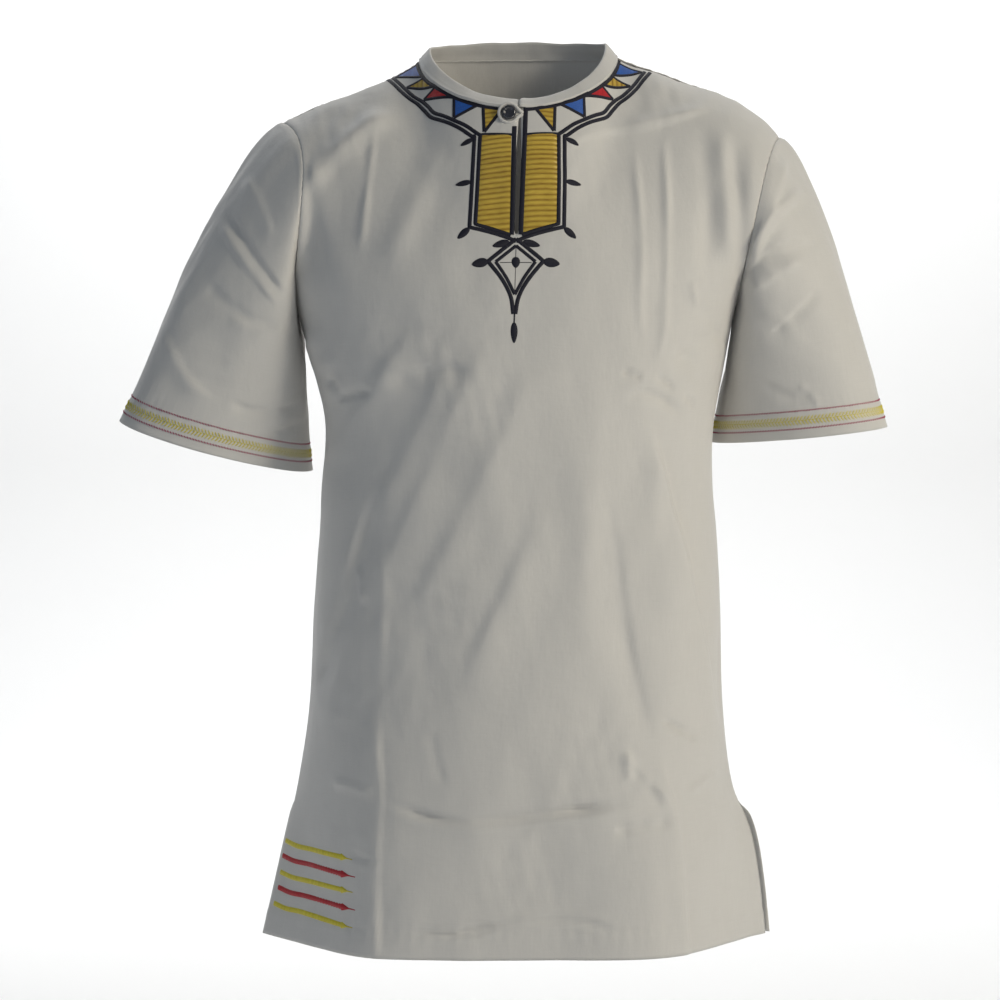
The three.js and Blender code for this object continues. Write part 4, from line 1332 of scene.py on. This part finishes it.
def headWidth(s):
    return np.interp(s, *zip(*hemBars["head"]))


hemThreads = {"thread_yellow": Threads(), "thread_red": Threads()}
for startX, z, endZ, slotName in hemBars["rows"]:
    end, threads = hemBars["end"], hemThreads[slotName]
    dip = pathThrough([(startX, z), (startX + 12, z - 2), (startX + 30, z - 1.5), (end, endZ)], 8)
    width = partial(barWidth, slotName == "thread_red")
    ribbon(threads, dip, onFrontPlain, width, hemBars["high"], hemBars["pitch"])
    head = [(end - 2, endZ), (end + hemBars["headLong"] + hemBars["tail"][slotName], endZ - 0.6)]
    ribbon(threads, head, onFrontPlain, headWidth, hemBars["headHigh"], hemBars["pitch"])
hemPieces = [hemThreads["thread_yellow"].finish("hem_bars_yellow", "thread_yellow"),
             hemThreads["thread_red"].finish("hem_bars_red", "thread_red")]
print("hem bars are made")

stitchA, stitchB = np.meshgrid(np.linspace(-1, 1, 5), np.linspace(-1, 1, 3), indexing="ij")


# One stitch is a small dome, (1 - a²)(1 - b²) high, and a row is that dome at every place of a seam.
def stitchRow(name, slot, centres, along, normals, length, wide, high, sink=0.12):
    across = unit(np.cross(along, normals))
    a, b = stitchA.ravel(), stitchB.ravel()
    narrow = np.sqrt(np.maximum(1 - a**2, 0.06))
    dome = (1 - a**2) * (1 - b**2)
    points = (centres[:, None] + along[:, None] * (a * length / 2)[None, :, None]
              + across[:, None] * (b * narrow * wide / 2)[None, :, None]
              + normals[:, None] * (dome * (high + sink) - sink)[None, :, None])
    one = gridFaces(*stitchA.shape)[:, ::-1]
    faces = (one[None] + stitchA.size * np.arange(len(centres))[:, None, None]).reshape(-1, 4)
    first = points[0][one[0]]
    if np.dot(np.cross(first[1] - first[0], first[2] - first[0]), normals[0]) < 0:
        faces = faces[:, ::-1]
    uv = np.tile(np.stack([a * length / 2, b * wide / 2], -1), (len(centres), 1))
    return makeMesh(name, points.reshape(-1, 3), faces, finishes[slot], uv)


# The cuffs' rows: name, thread, distance from the edge, pitch, where the first stitch lies in its
# pitch, how far each runs along and up, how far it is moved up, and its length, width and height.
cuffRows = [
    ("rope_lower", "thread_crimson", 9.5, 2.7, 0, 1, 0.9, 0, 3.2, 1.4, 0.8),
    ("rope_upper", "thread_crimson", 26, 2.7, 0, 1, 0.9, 0, 3.2, 1.4, 0.8),
    ("feather_up", "thread_yellow", 17, 3.2, 0, 0.7, 1, 2.3, 5.4, 1.25, 0.8),
    ("feather_down", "thread_yellow", 17, 3.2, 0.5, 0.7, -1, -2.3, 5.4, 1.25, 0.8),
    ("feather_core", "thread_yellow", 17, 3.2, 0.25, 1, 0, 0, 3.0, 1.4, 0.85),
]


# Places along a row of points at some lengths: the points, their normals and the row's direction.
def readRow(at, run, row, out):
    ahead, before = (readAlong(at + step, run, row) for step in (0.5, -0.5))
    return readAlong(at, run, row), unit(readAlong(at, run, out)), unit(ahead - before)


# Places round a sleeve at a distance from its cuff.
def roundCuff(cloth, away, pitch, shift):
    grid, fromCuff = cloth["grid"], cloth["fromCuff"]
    normals = gridNormals(grid, wrap=True) * -cloth["side"]
    col = np.arange(grid.shape[1])
    beyond = (fromCuff >= away).sum(0) - 1
    part = (fromCuff[beyond, col] - away) / (fromCuff[beyond, col] - fromCuff[beyond + 1, col])
    ring = mix(grid[beyond, col], grid[beyond + 1, col], part[:, None])
    out = unit(mix(normals[beyond, col], normals[beyond + 1, col], part[:, None]))
    ring, out = np.concatenate([ring, ring[:1]]), np.concatenate([out, out[:1]])
    run = runAlong(ring)
    count = int(run[-1] / pitch)
    return readRow((np.arange(count) + shift) * run[-1] / count, run, ring, out)


def addCuff(sleeveName, cloth):
    pieces = []
    for name, slot, away, pitch, shift, ahead, rise, offset, *size in cuffRows:
        points, outs, along = roundCuff(cloth, away, pitch, shift)
        upward = np.cross(outs, along) * cloth["side"]
        slant = unit(ahead * along + rise * upward)
        pieces.append(stitchRow(f"{sleeveName}_{name}", slot, points + upward * offset, slant, outs, *size))
    return pieces


rightCuff = addCuff("sleeve_right", rightCloth)
leftCuff = addCuff("sleeve_left", leftCloth)
print("cuff embroidery is made")

topstitch = {"pitch": 3.2, "samples": 600, "size": (2.3, 0.5, 0.12)}  # its size is length, width and height


# The hem's topstitching, in the groove at the hem's depth, up the panel's middle column.
def hemStitches(name, cloth, flip):
    normals = gridNormals(cloth["grid"]) * flip
    middle = panelGrid["across"] // 2
    row = np.interp(panelGrid["hemDeep"], cloth["lengths"][:, middle, 1], np.arange(len(cloth["v"])))
    cols = np.linspace(2, panelGrid["across"] - 3, topstitch["samples"])
    rows = np.full(len(cols), row)
    line, out = sample(cloth["grid"], rows, cols), sample(normals, rows, cols)
    run = runAlong(line)
    at = np.arange(topstitch["pitch"], run[-1] - topstitch["pitch"], topstitch["pitch"])
    points, outs, along = readRow(at, run, line, out)
    return stitchRow(name, "cotton", points, along, outs, *topstitch["size"])


frontHem = hemStitches("front_hem_stitches", front, 1)
backHem = hemStitches("back_hem_stitches", back, -1)
print("topstitching is made")

button = {"x": -6.1, "z": -72, "radius": 6.5, "thick": 3, "lift": 2.8, "turns": 72, "facing": 0.6}
loop = {
    "radius": 1.6, "reach": 8.7, "mouth": 30, "apart": 1.75, "foot": 1.5, "lift": 2.2, "sides": 18,
    "lumps": 0.04, "lumpRate": 1.9,
}


# Where the front lies at the button: its point, and the directions right, up and out.
def buttonFrame():
    points, normals = onFrontPlain([[button["x"], button["z"]]])
    out = unit(mix(unit(normals[0] * (0, 1, 1)), np.array([0.0, -1, 0]), button["facing"]))
    right = np.array([1.0, 0, 0])
    return points[0], right, unit(np.cross(right, -out)), out


# Puts a shape made about the button's centre where the button lies, lifted off the cloth.
def placed(local, lift):
    point, right, up, out = buttonFrame()
    x, y, z = (local[..., k, None] for k in range(3))
    return (point + x * right + y * up + (z + lift) * out).reshape(-1, 3)


# The button: a profile turned round its axis, with a rounded rim round a dished face.
def addButton():
    r, t = button["radius"], button["thick"]
    profile = pathThrough([(0.01, 0), (r - 1.2, 0), (r - 0.25, 0.5), (r, 1.3), (r - 0.35, 2.3),
                           (r - 1.3, t), (r - 2.2, t - 0.1), (r - 3.2, t - 0.75), (r - 4.6, t - 0.95),
                           (0.01, t - 0.9)], 5)
    turn = np.linspace(0, 2 * np.pi, button["turns"], endpoint=False)
    out, height = profile[:, None, 0], profile[:, None, 1]
    local = np.stack([out * np.cos(turn), out * np.sin(turn), height + 0 * turn], -1)
    faces = gridFaces(*local.shape[:2], wrap=True)
    piece = makeMesh("button_disc", placed(local, button["lift"]), faces, buttonMaterial())
    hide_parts("button")
    return piece


# The rouleau: a round tube of bias cotton carried round the button and back to the slit's edge, a
# little lumpy, as turned-out bias tubes are.
def addLoop():
    start, apart = slit["topX"] + loop["foot"] - button["x"], loop["apart"]
    turns = np.radians(np.linspace(loop["mouth"], 360 - loop["mouth"], 13))
    path = [(start + 1.5, apart - 0.6, -4.5), (start - 0.5, apart - 0.2, -1.2)]
    path += [(loop["reach"] * math.cos(a), loop["reach"] * math.sin(a), 0) for a in turns]
    path += [(start - 0.5, 0.2 - apart, -1.2), (start + 1.5, 0.6 - apart, -4.5)]
    path = pathThrough(path, 7)
    along = unit(np.gradient(path, axis=0))
    side = unit(np.cross(along, (0.0, 0, 1)))
    out = np.cross(side, along)
    turn = np.linspace(0, 2 * np.pi, loop["sides"], endpoint=False)
    run = runAlong(path)[:, None]
    radius = loop["radius"] * (1 + loop["lumps"] * np.sin(run * loop["lumpRate"] + 2 * turn))
    spokes = side[:, None] * np.cos(turn)[:, None] + out[:, None] * np.sin(turn)[:, None]
    tube = path[:, None] + radius[..., None] * spokes
    faces = gridFaces(*tube.shape[:2], wrap=True)[:, [0, 3, 2, 1]]
    uv = np.stack(np.broadcast_arrays(turn * loop["radius"], run), -1).reshape(-1, 2)
    piece = makeMesh("loop_cord", placed(tube, loop["lift"]), faces, bandCotton, uv)
    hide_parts("button_loop")
    return piece


addButton()
addLoop()
print("button and loop are made")

# The studio, in metres and watts.
studio = {
    "floorZ": -1.12, "wallY": 3.4, "bend": 0.7, "half": 6.0, "front": -6.5, "top": 5.5,
    "paint": (0.86, 0.86, 0.86),
    "ambient": (0.80, 0.89, 1.0, 1), "ambientPower": 0.22, "sky": (0.9, 0.9, 0.9, 1), "skyPower": 0.95,
    "lights": [  # name, place, what it faces, width and height, power, colour
        ("key", (2.2, -1.55, 0.95), (0, 0, -0.4), (0.8, 1.0), 41, (1.0, 0.92, 0.76)),
        ("fill", (-1.4, -3.0, -0.5), (0, 0, -0.45), (1.6, 1.6), 5, (0.66, 0.80, 1.0)),
        ("wall", (0, 1.7, 2.2), (0, 3.4, -0.3), (3.4, 0.6), 95, (1, 1, 1)),
        ("back", (-1.7, 2.3, 1.3), (0, 0, -0.4), (1.2, 1.2), 16, (1.0, 0.97, 0.92)),
        ("sleeve", (1.9, -1.6, -1.0), (0.28, 0, -0.35), (0.5, 0.5), 9, (1.0, 0.95, 0.86)),
    ],
}


# The backdrop: a floor that bends up into a wall along a quarter circle.
def addBackdrop():
    turn = np.linspace(0, np.pi / 2, 16)
    bend, wallY = studio["bend"], studio["wallY"]
    y = np.concatenate([[studio["front"]], wallY - bend + bend * np.sin(turn), [wallY]])
    z = np.concatenate([[0], bend * (1 - np.cos(turn)), [studio["top"]]]) + studio["floorZ"]
    x = np.array([-studio["half"], studio["half"]])
    grid = np.stack(np.broadcast_arrays(x[None, :], y[:, None], z[:, None]), -1)
    mesh = bpy.data.meshes.new("backdrop")
    mesh.from_pydata(grid.reshape(-1, 3).tolist(), [], gridFaces(len(y), 2).tolist())
    mesh.polygons.foreach_set("use_smooth", np.ones(len(mesh.polygons), bool))
    backdrop = bpy.data.objects.new("backdrop", mesh)
    bpy.context.scene.collection.objects.link(backdrop)
    paint = newMaterial("backdrop paint", Roughness=0.9, Base_Color=(*studio["paint"], 1))[0]
    mesh.materials.append(paint)


def addLight(name, place, aim, size, power, color):
    data = bpy.data.lights.new(name, "AREA")
    data.shape, data.size, data.size_y = "RECTANGLE", size[0], size[1]
    data.energy, data.color = power, color
    lamp = bpy.data.objects.new(name, data)
    lamp.location = place
    away = Vector(place) - Vector(aim)
    lamp.rotation_euler = away.to_track_quat("Z", "Y").to_euler()
    bpy.context.scene.collection.objects.link(lamp)


# The world: a cool ambient light, which is plain white where the camera sees it.
def addWorld():
    world = bpy.data.worlds.new("studio")
    world.use_nodes = True
    tree = world.node_tree
    ambient = tree.nodes["Background"]
    ambient.inputs["Color"].default_value = studio["ambient"]
    ambient.inputs["Strength"].default_value = studio["ambientPower"]
    sky = node(tree, "Background", {"Color": studio["sky"], "Strength": studio["skyPower"]})
    mixed, paths = node(tree, "MixShader"), node(tree, "LightPath")
    sources = (paths.outputs["Is Camera Ray"], ambient.outputs[0], sky.outputs[0])
    for source, socket in zip(sources, mixed.inputs):
        tree.links.new(source, socket)
    tree.links.new(mixed.outputs[0], tree.nodes["World Output"].inputs["Surface"])
    bpy.context.scene.world = world


addBackdrop()
for light in studio["lights"]:
    addLight(*light)
addWorld()
scene = bpy.context.scene
scene.view_settings.view_transform = "Standard"

# The camera, in metres, with its lens in millimetres.
view = {"place": (-0.014, -2.4, -0.356), "aimZ": -0.421, "lens": 92.9, "sensor": 36}
cameraData = bpy.data.cameras.new("camera")
cameraData.lens, cameraData.sensor_width = view["lens"], view["sensor"]
camera = bpy.data.objects.new("camera", cameraData)
camera.location = view["place"]
tilt = math.atan2(view["aimZ"] - view["place"][2], -view["place"][1])
camera.rotation_euler = (math.pi / 2 + tilt, 0, 0)
scene.collection.objects.link(camera)
scene.camera = camera
print("the studio is set up")

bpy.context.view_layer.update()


print("the shirt is finished")
